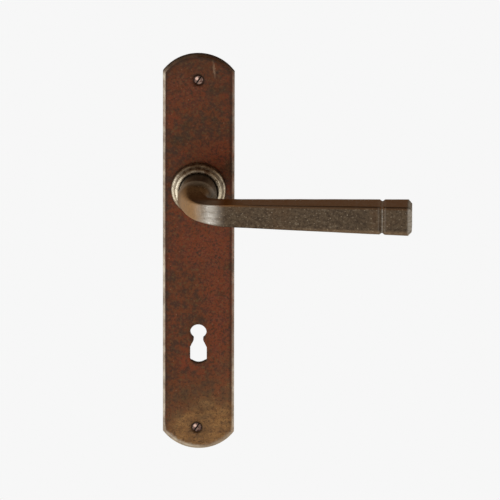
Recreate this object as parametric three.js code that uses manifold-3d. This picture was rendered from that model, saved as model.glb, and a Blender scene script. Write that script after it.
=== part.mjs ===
// Door lever handle on a long backplate, with a warded keyhole below the lever.
// Millimetres. X to the right, Y into the door, Z up; the front of the handle faces -Y.
// The origin is on the spindle's axis, at the back of the plate, where it meets the door.

import * as THREE from 'three';
import { mergeVertices } from 'three/addons/utils/BufferGeometryUtils.js';
import Module from 'manifold-3d';

// ---- Driving dimensions ----

const clearance = 0.3;          // gap left between pieces that curve against each other
const turnAngle = 40;           // degrees that the lever turns down

const plateWidth = 42;
const plateThickness = 3.5;
const plateTop = 83.1;          // height of the upper end above the spindle's axis
const plateBottom = 163.6;      // depth of the lower end below it
const plateEndRadius = 25.7;    // arc of both ends
const plateBevel = 1.5;
const plateBevelDepth = 1.1;

const keyholeDrop = 90;         // spindle's axis to the middle of the keyhole's round head
const keyholeHeadRadius = 4.8;
const keyholeNeckHalf = 2.8;    // half width at the narrowest place
const keyholeNeckDrop = 5.1;    // the narrowest place, below the head's middle
const keyholeSlotHalf = 4.9;
const keyholeShoulderDrop = 9.5;
const keyholeSideDrop = 17.3;
const keyholeEndDrop = 19.7;

const topScrewHeight = 67.3;
const bottomScrewDrop = 150;
const bottomScrewOffset = -0.9; // the lower hole was drilled slightly to the left
const screwHeadRadius = 2.95;
const screwHeadDepth = 0.4;     // how far the head sits below the plate's face
const screwShankRadius = 1.6;
const screwLength = 25;
const screwSlotWidth = 0.7;
const screwSlotDepth = 0.8;
const screwSlotAngle = 57;      // degrees from level

const collarHeight = 6;
const collarWall = 3.65;        // around the cavity that holds the spring
const collarLip = 2;            // thickness of the lip around the mouth
const mouthGap = 0.55;          // between the lip and the lever's boss
const collarScrewCount = 3;
const collarScrewStart = 70;    // degrees from level to the first of them
const collarScrewRadius = 0.9;
const collarScrewHeadRadius = 1.9;
const collarScrewBite = 2.7;    // length of screw in the collar

const spindleWidth = 8;
const spindleReach = 62;        // behind the plate, through the door
const spindleEngagement = 17;   // into the lever, in front of the plate's back
const spindleChamfer = 0.8;

const journalWall = 1.42;       // around the corners of the spindle's socket
const journalFlatDepth = 0.8;   // of the two flats that key the stop disc
const bushWall = 1.2;
const bushFlangeWidth = 2.2;
const bushFlangeThickness = 0.8;
const thrustWasherThickness = 0.6;
const stopDiscWidth = 4.7;      // from the journal to the rim
const stopDiscThickness = 1.8;
const stopLobeAngle = 44;       // degrees covered by the lobe
const stopPinRadius = 1.4;
const stopPinSpace = 1.4;       // between the disc's rim and the pins
const stopPinSeat = 2.4;        // depth of the pin in the plate
const waveWasherThickness = 0.5;
const waveWasherHeight = 1.1;
const circlipThickness = 1;
const circlipWidth = 2.2;
const circlipEarRadius = 1.9;
const circlipEyeRadius = 0.8;
const circlipEarAngle = 26;     // degrees from the middle of the mouth to each ear
const circlipGrooveDepth = 0.6;
const journalEnd = 1.1;         // journal left behind the circlip

const springWire = 1.3;
const springRoom = 1.15;        // left around the coil
const springTurns = 1.6;
const springPinRadius = 0.7;
const springPinWall = 0.45;     // left outside the pin that the lever carries
const springPinSeat = 2.2;      // depth of each pin in its hole

const grubRadius = 2.2;
const grubAhead = 10;           // in front of the plate's face
const grubRecess = 0.6;         // below the boss's surface
const grubSocket = 2.5;         // across the flats of its hexagon
const grubSocketDepth = 2;

const bossShoulder = 3.25;      // step from the journal to the boss
const leverLength = 126.3;      // spindle's axis to the end of the grip
const leverReach = 42.05;       // plate's face to the middle of the grip
const gripStart = 21;           // where the bend ends and the straight grip begins
const gripHeight = 14.1;        // at the neck
const gripDepth = 10.7;
const tipHeight = 17.6;
const tipDepth = 15.1;
const tipDroop = 1.35;          // the tip's middle lies this much below the spindle's axis
const gripEdge = 0.55;          // rounding of the long edges at the neck
const tipEdge = 1.5;
const endChamfer = 2.1;
const grooveFromAxis = 108.9;
const grooveWidth = 3.3;
const grooveDepth = 0.8;

// ---- Places that follow from them ----

const faceY = -plateThickness;
const socketHalf = spindleWidth / 2 + clearance;
const journalRadius = socketHalf * Math.SQRT2 + journalWall;
const journalFlatHalf = journalRadius - journalFlatDepth;
const bossRadius = journalRadius + bossShoulder;
const collarMouthRadius = bossRadius + mouthGap;
const collarFrontY = faceY - collarHeight;
const cavityFrontY = collarFrontY + collarLip;
const bossBackY = cavityFrontY - 0.2;
const bushInner = journalRadius + clearance;
const bushOuter = bushInner + bushWall;
const bushFlangeRadius = bushOuter + bushFlangeWidth;
const plateBoreRadius = bushOuter + clearance;
const springRadius = plateBoreRadius + springWire;
const springPinReach = 0.8 * springWire;
const springPinCircle = bossRadius - springPinWall - springPinRadius - clearance;
const collarCavityRadius = springRadius + springWire / 2 + springRoom;
const collarRadius = collarCavityRadius + collarWall;
const collarScrewCircle = collarCavityRadius + collarWall / 2;
const collarScrewLength = plateThickness + collarScrewBite;
const stopDiscRadius = journalRadius + stopDiscWidth;
const stopPinCircle = stopDiscRadius + stopPinSpace + stopPinRadius;
const stopLobeRadius = stopPinCircle + stopPinRadius;
const thrustBackY = bushFlangeThickness + thrustWasherThickness;
const discBackY = thrustBackY + stopDiscThickness;
const waveBackY = discBackY + waveWasherHeight;
const circlipBackY = waveBackY + circlipThickness;
const journalBackY = circlipBackY + journalEnd;
const grooveRadius = journalRadius - circlipGrooveDepth;
const countersinkRadius = screwHeadRadius + screwHeadDepth + clearance;
const screwHoleRadius = screwShankRadius + clearance;
const stopLobeHalf = THREE.MathUtils.degToRad(stopLobeAngle / 2);
const stopPinHalf = (stopPinRadius + clearance) / stopPinCircle;
const turn = THREE.MathUtils.degToRad(turnAngle);

// ---- Finishes ----

function finish(color, roughness, metalness) {
  return new THREE.MeshStandardMaterial({ color, roughness, metalness });
}

const finishes = {
  plate: finish(0x56382a, 0.5, 0.7),
  lever: finish(0x6b5c4c, 0.42, 0.85),
  collar: finish(0x7d7062, 0.35, 0.9),
  screw: finish(0xa8968a, 0.35, 0.9),
  bronze: finish(0x9a7440, 0.4, 0.9),
  nylon: finish(0xd8d2c4, 0.55, 0),
  steel: finish(0x8b8d8f, 0.35, 0.9),
  spring: finish(0x4a4c50, 0.4, 0.85),
};

// ---- Solids ----

const wasm = await Module();
wasm.setup();

function toSolid(geometry) {
  const bare = geometry.clone();
  bare.deleteAttribute('normal');
  bare.deleteAttribute('uv');
  const merged = mergeVertices(bare, 1e-4);
  return new wasm.Manifold(new wasm.Mesh({
    numProp: 3,
    vertProperties: Float32Array.from(merged.attributes.position.array),
    triVerts: Uint32Array.from(merged.index.array),
  }));
}

function toGeometry(solid) {
  const mesh = solid.getMesh();
  const geometry = new THREE.BufferGeometry();
  geometry.setAttribute('position', new THREE.BufferAttribute(mesh.vertProperties, 3));
  geometry.setIndex(new THREE.BufferAttribute(mesh.triVerts, 1));
  geometry.computeVertexNormals();
  return geometry;
}

function cut(geometry, ...tools) {
  return toGeometry(tools.reduce((solid, tool) => solid.subtract(toSolid(tool)), toSolid(geometry)));
}

function join(geometry, ...others) {
  return toGeometry(others.reduce((solid, other) => solid.add(toSolid(other)), toSolid(geometry)));
}

function keep(geometry, tool) {
  return toGeometry(toSolid(geometry).intersect(toSolid(tool)));
}

// A solid turned about the Y axis from its half section, given as [radius, y] corners.
function turned(corners, segments = 40) {
  let area = 0;
  corners.forEach(([radius, y], i) => {
    const [nextRadius, nextY] = corners[(i + 1) % corners.length];
    area += radius * nextY - nextRadius * y;
  });
  const ordered = area > 0 ? corners : [...corners].reverse();
  const onAxis = ordered.findIndex(([radius], i) => {
    const [before] = ordered[(i + ordered.length - 1) % ordered.length];
    return radius === 0 && before === 0;
  });
  const first = Math.max(onAxis, 0);
  const points = [...ordered.slice(first), ...ordered.slice(0, first)].map(([r, y]) => new THREE.Vector2(r, y));
  if (onAxis < 0) {
    points.push(points[0].clone());
  }
  return new THREE.LatheGeometry(points, segments);
}

function disc(radius, backY, frontY, segments = 40) {
  return turned([[0, frontY], [radius, frontY], [radius, backY], [0, backY]], segments);
}

function ring(inner, outer, backY, frontY, segments = 40) {
  return turned([[inner, frontY], [outer, frontY], [outer, backY], [inner, backY]], segments);
}

function block(minX, maxX, minY, maxY, minZ, maxZ) {
  const box = new THREE.BoxGeometry(maxX - minX, maxY - minY, maxZ - minZ);
  return box.translate((minX + maxX) / 2, (minY + maxY) / 2, (minZ + maxZ) / 2);
}

// A flat outline, drawn in X and Z, extruded from backY forward to frontY.
function slab(shape, backY, frontY, curveSegments = 16) {
  const body = new THREE.ExtrudeGeometry(shape, { depth: backY - frontY, bevelEnabled: false, curveSegments });
  return body.rotateX(Math.PI / 2).translate(0, backY, 0);
}

// ---- Backplate ----

function plateShape() {
  const half = plateWidth / 2;
  const rise = Math.sqrt(plateEndRadius ** 2 - half ** 2);
  const corner = Math.atan2(rise, half);
  const shape = new THREE.Shape();
  shape.absarc(0, plateTop - plateEndRadius, plateEndRadius, corner, Math.PI - corner, false);
  shape.absarc(0, plateEndRadius - plateBottom, plateEndRadius, Math.PI + corner, 2 * Math.PI - corner, false);
  shape.closePath();
  return shape;
}

function keyholeShape() {
  const shape = new THREE.Shape();
  const headZ = -keyholeDrop;
  const side = Math.asin(keyholeNeckHalf / keyholeHeadRadius);
  const corner = 1.1;
  shape.absarc(0, headZ, keyholeHeadRadius, -Math.PI / 2 + side, 1.5 * Math.PI - side, false);
  shape.lineTo(-keyholeNeckHalf, headZ - keyholeNeckDrop);
  shape.lineTo(-keyholeSlotHalf, headZ - keyholeShoulderDrop);
  shape.lineTo(-keyholeSlotHalf, headZ - keyholeSideDrop);
  shape.quadraticCurveTo(
    -keyholeSlotHalf, headZ - keyholeSideDrop - corner, corner - keyholeSlotHalf, headZ - keyholeSideDrop - corner);
  shape.quadraticCurveTo(
    0, headZ - 2 * keyholeEndDrop + keyholeSideDrop + corner, keyholeSlotHalf - corner, headZ - keyholeSideDrop - corner);
  shape.quadraticCurveTo(
    keyholeSlotHalf, headZ - keyholeSideDrop - corner, keyholeSlotHalf, headZ - keyholeSideDrop);
  shape.lineTo(keyholeSlotHalf, headZ - keyholeShoulderDrop);
  shape.lineTo(keyholeNeckHalf, headZ - keyholeNeckDrop);
  shape.closePath();
  return shape;
}

function screwHole(x, z) {
  const coneDepth = countersinkRadius - screwHoleRadius;
  return turned([
    [0, faceY - 1], [countersinkRadius + 1, faceY - 1], [countersinkRadius, faceY],
    [screwHoleRadius, faceY + coneDepth], [screwHoleRadius, 1], [0, 1],
  ], 28).translate(x, 0, z);
}

function onCircle(radius, angle) {
  return [radius * Math.cos(angle), radius * Math.sin(angle)];
}

function collarScrewAngle(index) {
  return THREE.MathUtils.degToRad(collarScrewStart) + index * 2 * Math.PI / collarScrewCount;
}

function collarScrewHole(index) {
  const [x, z] = onCircle(collarScrewCircle, collarScrewAngle(index));
  const shank = collarScrewRadius + clearance;
  const head = collarScrewHeadRadius + clearance;
  return turned([
    [0, faceY - 1], [shank, faceY - 1], [shank, shank - head], [head, 0], [head, 1], [0, 1],
  ], 20).translate(x, 0, z);
}

const stopCentre = Math.PI / 2;                     // the lobe points up at rest
const stopPinAngles = [
  stopCentre + stopLobeHalf + stopPinHalf,          // meets the lobe at rest
  stopCentre - stopLobeHalf - stopPinHalf - turn,   // meets it with the lever down
];
const springAnchorAngle = THREE.MathUtils.degToRad(205);
const springDriveAngle = springAnchorAngle + springTurns * 2 * Math.PI;

function backplate() {
  const spare = 4;                                  // cut off again, with the bevel behind it
  const depth = plateThickness + spare - 2 * plateBevelDepth;
  const body = new THREE.ExtrudeGeometry(plateShape(), {
    depth,
    bevelEnabled: true,
    bevelThickness: plateBevelDepth,
    bevelSize: plateBevel,
    bevelOffset: -plateBevel,
    bevelSegments: 1,
    curveSegments: 14,
  });
  body.rotateX(Math.PI / 2).translate(0, spare - plateBevelDepth, 0);
  const behind = block(-plateWidth, plateWidth, 0, spare + 1, -2 * plateBottom, 2 * plateTop);
  const pinHoles = stopPinAngles.map((angle) => {
    const [x, z] = onCircle(stopPinCircle, angle);
    return disc(stopPinRadius + clearance, 1, -stopPinSeat, 20).translate(x, 0, z);
  });
  const [anchorX, anchorZ] = onCircle(springRadius, springAnchorAngle);
  return cut(
    body,
    behind,
    slab(keyholeShape(), 1, faceY - 1, 12),
    disc(plateBoreRadius, 1, faceY - 1),
    screwHole(0, topScrewHeight),
    screwHole(bottomScrewOffset, -bottomScrewDrop),
    ...pinHoles,
    disc(springPinRadius + clearance, faceY + springPinSeat + clearance, faceY - 1, 16).translate(anchorX, 0, anchorZ),
    ...Array.from({ length: collarScrewCount }, (unused, index) => collarScrewHole(index)),
  );
}

function fixingScrew(x, z) {
  const topY = faceY + screwHeadDepth;
  const neckY = topY + screwHeadRadius - screwShankRadius;
  const tipY = topY + screwLength;
  const body = turned([
    [0, topY], [screwHeadRadius, topY], [screwShankRadius, neckY],
    [screwShankRadius, tipY - 5], [0, tipY],
  ], 28);
  const slot = block(
    -screwHeadRadius, screwHeadRadius, topY - 1, topY + screwSlotDepth, -screwSlotWidth / 2, screwSlotWidth / 2);
  slot.rotateY(-THREE.MathUtils.degToRad(screwSlotAngle));
  return cut(body, slot).translate(x, 0, z);
}

// ---- Collar around the neck ----

// Half section: a plain rim, a step and a cove, then the bead whose crest stands beside the mouth.
function collarProfile() {
  const crest = collarMouthRadius + 1.4;
  return [
    [collarCavityRadius, faceY],
    [collarRadius, faceY],
    [collarRadius, collarFrontY + 3.4],
    [collarRadius - 0.3, collarFrontY + 2.6],
    [collarRadius - 1, collarFrontY + 2.1],
    [collarRadius - 1.7, collarFrontY + 1.8],
    [collarRadius - 2.1, collarFrontY + 0.9],
    [collarRadius - 2.6, collarFrontY + 0.25],
    [crest, collarFrontY],
    [collarMouthRadius + 0.7, collarFrontY + 0.2],
    [collarMouthRadius, collarFrontY + 0.9],
    [collarMouthRadius, cavityFrontY],
    [collarCavityRadius, cavityFrontY],
  ];
}

function collarRing() {
  const holes = Array.from({ length: collarScrewCount }, (unused, index) => {
    const [x, z] = onCircle(collarScrewCircle, collarScrewAngle(index));
    return disc(collarScrewRadius + clearance, 1, -collarScrewLength - clearance, 20).translate(x, 0, z);
  });
  return cut(turned(collarProfile(), 52), ...holes);
}

function collarScrew(index) {
  const [x, z] = onCircle(collarScrewCircle, collarScrewAngle(index));
  const coneEnd = collarScrewRadius - collarScrewHeadRadius;
  const body = turned([
    [0, 0], [collarScrewHeadRadius, 0], [collarScrewRadius, coneEnd],
    [collarScrewRadius, -collarScrewLength], [0, -collarScrewLength],
  ], 20);
  const slot = block(-collarScrewHeadRadius, collarScrewHeadRadius, -0.5, 1, -0.25, 0.25);
  return cut(body, slot.rotateY(index * 1.1)).translate(x, 0, z);
}

// ---- Lever: round boss, bent neck and flared grip ----

// Stations along the middle of the lever: x, distance ahead of the plate's face, heading in degrees
// (0 is straight out, 90 is to the right), half depth, half height and edge radius.
const neckStations = [
  [0, 12, 0, bossRadius, bossRadius, bossRadius],
  [-0.5, 17.2, 0, bossRadius + 0.5, bossRadius, bossRadius - 0.3],
  [-0.7, 21.4, 8, 9.6, 8.9, 7.4],
  [-0.7, 25.8, 18, 7.7, 6.8, 4.2],
  [0.5, 31, 33, 6.6, 5.8, 2],
  [4, 36.2, 50, 6.4, 5.7, 1.1],
  [9.4, 39.7, 68, 6.1, 6.2, 0.8],
  [15, 41.5, 81, 5.7, 6.7, 0.65],
  [gripStart, leverReach, 90, gripDepth / 2, gripHeight / 2, gripEdge],
];

// One section of the lever: four rounded corners, turned to its heading and set in place.
function leverSection([x, ahead, heading, halfDepth, halfHeight, edge], z, cornerSteps) {
  const angle = THREE.MathUtils.degToRad(heading);
  const points = [];
  const corners = [[1, 1], [-1, 1], [-1, -1], [1, -1]];
  corners.forEach(([across, up], quarter) => {
    const centreU = across * (halfDepth - edge);
    const centreV = up * (halfHeight - edge);
    for (let step = 0; step <= cornerSteps; step += 1) {
      const turnBy = (quarter + step / cornerSteps) * Math.PI / 2;
      const u = centreU + edge * Math.cos(turnBy);
      const v = centreV + edge * Math.sin(turnBy);
      points.push([x + u * Math.cos(angle), faceY - ahead + u * Math.sin(angle), z + v]);
    }
  });
  return points;
}

// A closed skin through sections that all have the same number of points.
function loft(sections) {
  const count = sections[0].length;
  const positions = sections.flat(2);
  const index = [];
  for (let s = 0; s < sections.length - 1; s += 1) {
    for (let i = 0; i < count; i += 1) {
      const a = s * count + i;
      const b = s * count + (i + 1) % count;
      index.push(a, b, b + count, a, b + count, a + count);
    }
  }
  const addCap = (section, reversed) => {
    const middle = positions.length / 3;
    const sum = section.reduce((total, point) => total.map((value, k) => value + point[k]), [0, 0, 0]);
    positions.push(...sum.map((value) => value / count));
    const start = reversed ? 0 : (sections.length - 1) * count;
    for (let i = 0; i < count; i += 1) {
      const j = (i + 1) % count;
      index.push(middle, ...(reversed ? [start + j, start + i] : [start + i, start + j]));
    }
  };
  addCap(sections[0], true);
  addCap(sections[sections.length - 1], false);
  const geometry = new THREE.BufferGeometry();
  geometry.setAttribute('position', new THREE.Float32BufferAttribute(positions, 3));
  geometry.setIndex(index);
  geometry.deleteAttribute('normal');
  return geometry;
}

// Smooth stations between the ones above, each value along its own curve.
function smoothStations(stations, stepsBetween) {
  const curveOf = (column) => new THREE.CatmullRomCurve3(
    stations.map((station, i) => new THREE.Vector3(i, station[column], 0)), false, 'centripetal');
  const curves = stations[0].map((unused, column) => curveOf(column));
  const total = (stations.length - 1) * stepsBetween;
  return Array.from({ length: total + 1 }, (unused, i) => curves.map((curve) => curve.getPoint(i / total).y));
}

function gripStation(x, inset) {
  const along = (x - gripStart) / (leverLength - gripStart);
  const blend = THREE.MathUtils.lerp;
  return [
    x,
    leverReach,
    90,
    blend(gripDepth, tipDepth, along) / 2 - inset,
    blend(gripHeight, tipHeight, along) / 2 - inset,
    blend(gripEdge, tipEdge, along),
  ];
}

function gripMiddleZ(x) {
  return -tipDroop * Math.max(0, (x - gripStart) / (leverLength - gripStart));
}

function leverBody() {
  const stations = [[0, faceY - bossBackY, 0, bossRadius, bossRadius, bossRadius]];
  stations.push(...smoothStations(neckStations, 3));
  stations.push(gripStation(50, 0), gripStation(80, 0));
  stations.push(gripStation(grooveFromAxis - grooveWidth / 2, 0));
  stations.push(gripStation(grooveFromAxis, grooveDepth));
  stations.push(gripStation(grooveFromAxis + grooveWidth / 2, 0));
  stations.push(gripStation(leverLength - endChamfer, 0), gripStation(leverLength, endChamfer * 0.9));
  return loft(stations.map((station) => leverSection(station, gripMiddleZ(station[0]), 5)));
}

function leverHandle() {
  const journal = turned([
    [0, bossBackY - 1], [bossRadius - 1, bossBackY - 1], [bossRadius - 1, bossBackY], [journalRadius, bossBackY],
    [journalRadius, waveBackY - 0.1], [grooveRadius, waveBackY - 0.1],
    [grooveRadius, circlipBackY + 0.1], [journalRadius, circlipBackY + 0.1],
    [journalRadius, journalBackY], [0, journalBackY],
  ]);
  const flatStart = thrustBackY - 0.2;
  const left = block(-2 * journalRadius, -journalFlatHalf, flatStart, journalBackY + 1, -journalRadius, journalRadius);
  const right = block(journalFlatHalf, 2 * journalRadius, flatStart, journalBackY + 1, -journalRadius, journalRadius);
  const socketFront = -spindleEngagement - clearance;
  const socket = block(-socketHalf, socketHalf, socketFront, journalBackY + 1, -socketHalf, socketHalf);
  const grubHole = upright(grubRadius + clearance, -2 * bossRadius, -spindleWidth / 2);
  const [driveX, driveZ] = onCircle(springPinCircle, springDriveAngle);
  const pinHoleEnd = bossBackY - springPinSeat - clearance;
  const pinHole = disc(springPinRadius + clearance, bossBackY + 1, pinHoleEnd, 16).translate(driveX, 0, driveZ);
  return cut(join(leverBody(), journal), left, right, socket, grubHole, pinHole);
}

// A cylinder along Z at the grub screw's place, or a hexagon of the same axis with 6 sides.
function upright(radius, bottom, top, sides = 24) {
  const body = new THREE.CylinderGeometry(radius, radius, top - bottom, sides).rotateX(Math.PI / 2);
  return body.translate(0, faceY - grubAhead, (top + bottom) / 2);
}

function grubScrew() {
  const bottom = grubRecess - bossRadius;
  const hexagon = upright(grubSocket / Math.sqrt(3), bottom - 1, bottom + grubSocketDepth, 6);
  return cut(upright(grubRadius, bottom, -spindleWidth / 2 - clearance), hexagon);
}

// ---- Parts behind and inside the collar ----

function spindle() {
  const half = spindleWidth / 2;
  const inner = half - spindleChamfer;
  const shape = new THREE.Shape();
  shape.moveTo(-inner, -inner);
  shape.lineTo(inner, -inner);
  shape.lineTo(inner, inner);
  shape.lineTo(-inner, inner);
  shape.closePath();
  const body = new THREE.ExtrudeGeometry(shape, {
    depth: spindleReach + spindleEngagement - 2 * spindleChamfer,
    bevelEnabled: true,
    bevelThickness: spindleChamfer,
    bevelSize: spindleChamfer,
    bevelSegments: 1,
  });
  return body.rotateX(Math.PI / 2).translate(0, spindleReach - spindleChamfer, 0);
}

function bearingBush() {
  return turned([
    [bushInner, faceY], [bushOuter, faceY], [bushOuter, 0],
    [bushFlangeRadius, 0], [bushFlangeRadius, bushFlangeThickness], [bushInner, bushFlangeThickness],
  ]);
}

function thrustWasher() {
  return ring(bushInner, bushFlangeRadius, thrustBackY, bushFlangeThickness);
}

function stopDisc() {
  const shape = new THREE.Shape();
  shape.absarc(0, 0, stopDiscRadius, stopCentre + stopLobeHalf, stopCentre - stopLobeHalf + 2 * Math.PI, false);
  shape.absarc(0, 0, stopLobeRadius, stopCentre - stopLobeHalf, stopCentre + stopLobeHalf, false);
  shape.closePath();
  const hole = disc(journalRadius + clearance, discBackY + 1, thrustBackY - 1);
  const flats = journalFlatHalf + clearance;
  const keyed = keep(hole, block(-flats, flats, thrustBackY - 2, discBackY + 2, -20, 20));
  return cut(slab(shape, discBackY, thrustBackY, 24), keyed);
}

function stopPin(index) {
  const [x, z] = onCircle(stopPinCircle, stopPinAngles[index]);
  return turned([
    [0, -stopPinSeat], [stopPinRadius, -stopPinSeat], [stopPinRadius, discBackY - 0.3],
    [stopPinRadius - 0.3, discBackY], [0, discBackY],
  ], 20).translate(x, 0, z);
}

// A flat ring bent into three waves around the axis.
function waveWasher() {
  const geometry = ring(
    bushInner, bushFlangeRadius - 0.4, discBackY + waveWasherThickness, discBackY, 48);
  const position = geometry.attributes.position;
  const lift = (waveWasherHeight - waveWasherThickness) / 2;
  for (let i = 0; i < position.count; i += 1) {
    const angle = Math.atan2(position.getZ(i), position.getX(i));
    position.setY(i, position.getY(i) + lift * (1 - Math.cos(3 * angle)));
  }
  return geometry;
}

function circlip() {
  const inner = grooveRadius + clearance;
  const outer = inner + circlipWidth;
  const earRound = (radius, spare, side) => {
    const angle = Math.PI / 2 + side * THREE.MathUtils.degToRad(circlipEarAngle);
    const [x, z] = onCircle(outer + 0.4, angle);
    return disc(radius, circlipBackY + spare, waveBackY - spare, 20).translate(x, 0, z);
  };
  const ears = [-1, 1].map((side) => earRound(circlipEarRadius, 0, side));
  const eyes = [-1, 1].map((side) => earRound(circlipEyeRadius, 1, side));
  const mouth = block(-circlipWidth, circlipWidth, waveBackY - 1, circlipBackY + 1, 0, 2 * outer);
  const bore = disc(inner, circlipBackY + 1, waveBackY - 1, 48);
  return cut(join(ring(inner, outer, circlipBackY, waveBackY, 48), ...ears), mouth, bore, ...eyes);
}

// Helix of the return spring, from the plate's pin round to the leg that the lever's pin pushes.
function springPath() {
  const startY = faceY - springWire / 2 - 0.1;
  const endY = cavityFrontY + springWire / 2 + 0.1;
  const spare = (springPinRadius + clearance) / springRadius;
  const from = springAnchorAngle + spare;
  const legSide = (springPinRadius + springWire / 2 + clearance) / springPinCircle;
  const to = springDriveAngle - legSide;
  const steps = 44;
  const points = [];
  for (let i = 0; i <= steps; i += 1) {
    const t = i / steps;
    const [x, z] = onCircle(springRadius, from + (to - from) * t);
    points.push(new THREE.Vector3(x, startY + (endY - startY) * t, z));
  }
  const [legX, legZ] = onCircle(springPinCircle - 1.1, to + 0.02);
  points.push(new THREE.Vector3(legX, endY, legZ));
  return new THREE.CatmullRomCurve3(points, false, 'centripetal');
}

function returnSpring() {
  const section = new THREE.Shape();
  section.absarc(0, 0, springWire / 2, 0, 2 * Math.PI, false);
  return new THREE.ExtrudeGeometry(section, { extrudePath: springPath(), steps: 60, curveSegments: 4 });
}

function springAnchorPin() {
  const [x, z] = onCircle(springRadius, springAnchorAngle);
  return disc(springPinRadius, faceY + springPinSeat, faceY - springPinReach, 16).translate(x, 0, z);
}

function springDrivePin() {
  const [x, z] = onCircle(springPinCircle, springDriveAngle);
  return disc(springPinRadius, cavityFrontY + springPinReach, bossBackY - springPinSeat, 16).translate(x, 0, z);
}

// ---- Assembly ----

const handle = new THREE.Group();

function place(name, geometry, material) {
  const mesh = new THREE.Mesh(geometry, material);
  mesh.name = name;
  handle.add(mesh);
}

place('backplate', backplate(), finishes.plate);
place('collar_ring', collarRing(), finishes.collar);
for (let index = 0; index < collarScrewCount; index += 1) {
  place(`collar_screw_${index + 1}`, collarScrew(index), finishes.steel);
}
place('fixing_screw_top', fixingScrew(0, topScrewHeight), finishes.screw);
place('fixing_screw_bottom', fixingScrew(bottomScrewOffset, -bottomScrewDrop), finishes.screw);
place('bearing_bush', bearingBush(), finishes.bronze);
stopPinAngles.forEach((unused, index) => place(`stop_pin_${index + 1}`, stopPin(index), finishes.steel));
place('spring_anchor_pin', springAnchorPin(), finishes.steel);
place('return_spring', returnSpring(), finishes.spring);

place('lever_handle', leverHandle(), finishes.lever);
place('spindle', spindle(), finishes.steel);
place('grub_screw', grubScrew(), finishes.spring);
place('spring_drive_pin', springDrivePin(), finishes.steel);
place('thrust_washer', thrustWasher(), finishes.nylon);
place('stop_disc', stopDisc(), finishes.steel);
place('wave_washer', waveWasher(), finishes.spring);
place('circlip', circlip(), finishes.spring);

export default handle;
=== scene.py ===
# Door lever handle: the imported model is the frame, and the finished pieces are built around it.
# Sizes in the dictionaries are millimetres. X is to the right, Y into the door, Z up.

import math

import bmesh
import bpy
from mathutils import Matrix, Vector, geometry, kdtree, noise


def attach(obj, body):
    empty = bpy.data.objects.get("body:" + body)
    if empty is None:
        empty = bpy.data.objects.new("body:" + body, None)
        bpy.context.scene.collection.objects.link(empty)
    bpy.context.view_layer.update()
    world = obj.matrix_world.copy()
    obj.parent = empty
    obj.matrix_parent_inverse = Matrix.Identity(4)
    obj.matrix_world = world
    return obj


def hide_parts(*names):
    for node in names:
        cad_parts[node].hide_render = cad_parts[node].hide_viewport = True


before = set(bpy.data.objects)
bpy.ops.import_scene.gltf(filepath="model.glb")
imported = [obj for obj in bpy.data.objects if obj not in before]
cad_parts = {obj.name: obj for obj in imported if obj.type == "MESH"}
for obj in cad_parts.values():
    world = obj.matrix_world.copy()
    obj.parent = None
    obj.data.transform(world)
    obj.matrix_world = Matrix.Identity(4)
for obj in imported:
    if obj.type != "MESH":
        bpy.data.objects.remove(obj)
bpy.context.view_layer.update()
print("frame loaded:", len(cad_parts), "nodes")

mm = 0.001
tau = 2 * math.pi


# camera, floor and light

view = {
    "azimuth": 2.0,       # degrees to the right of straight ahead
    "elevation": 20.0,
    "roll": 0.165,
    "lens": 800.0,        # a long lens, far back
    "sensor": 36.0,
    "width": 293.5,       # width of the view at the plate
    "right": 30.3,        # the view's middle, from the spindle's axis
    "down": 36.0,
    "plane": -3.5,        # the plate's face
}

studio = {
    "floorDrop": 620.0,
    "floorSize": 24000.0,
    "pale": (0.93, 0.93, 0.93),      # the floor, and the wall far behind it
    "above": (0.25, 0.18, 0.115),    # light that comes from each height
    "level": (0.42, 0.38, 0.33),
    "below": (0.62, 0.54, 0.44),
    # name: place, aim, width, height, brightness, colour
    "lights": {
        "left": ((-820, -980, -370), (0, -20, -20), 480, 900, 2.2, (0.97, 0.99, 1.0)),
        "leftSide": ((-1200, -260, -250), (0, -10, -20), 420, 1500, 0.8, (1.0, 0.99, 0.97)),
        "right": ((1200, -380, -250), (0, -20, -20), 520, 1300, 1.0, (1.0, 0.98, 0.95)),
        "front": ((-100, -1800, -650), (0, -20, -40), 1500, 1200, 0.7, (1.0, 0.98, 0.96)),
        "behind": ((300, 1300, -700), (0, 20, -40), 1500, 700, 0.7, (1.0, 0.96, 0.92)),
    },
}


def shaderNode(tree, kind, **settings):
    node = tree.nodes.new(kind)
    for key, value in settings.items():
        setattr(node, key, value)
    return node


def makeCamera():
    data = bpy.data.cameras.new("camera")
    data.lens = view["lens"]
    data.sensor_width = view["sensor"]
    data.clip_start = 0.1
    data.clip_end = 60
    camera = bpy.data.objects.new("camera", data)
    bpy.context.collection.objects.link(camera)
    a, e = math.radians(view["azimuth"]), math.radians(view["elevation"])
    right = Vector((math.cos(a), math.sin(a), 0))
    back = Vector((math.sin(a) * math.cos(e), -math.cos(a) * math.cos(e), math.sin(e)))
    up = back.cross(right)
    aim = Vector((0, view["plane"], 0)) + right * view["right"] - up * view["down"]
    distance = view["width"] * view["lens"] / view["sensor"]
    camera.location = (aim + back * distance) * mm
    turn = (-back).to_track_quat("-Z", "Y").to_matrix()
    roll = math.radians(view["roll"])
    x, y = turn.col[0], turn.col[1]
    turned = (x * math.cos(roll) + y * math.sin(roll), y * math.cos(roll) - x * math.sin(roll), turn.col[2])
    for i in range(3):
        turn.col[i] = turned[i]
    camera.rotation_mode = "QUATERNION"
    camera.rotation_quaternion = turn.to_quaternion()
    bpy.context.scene.camera = camera


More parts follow.
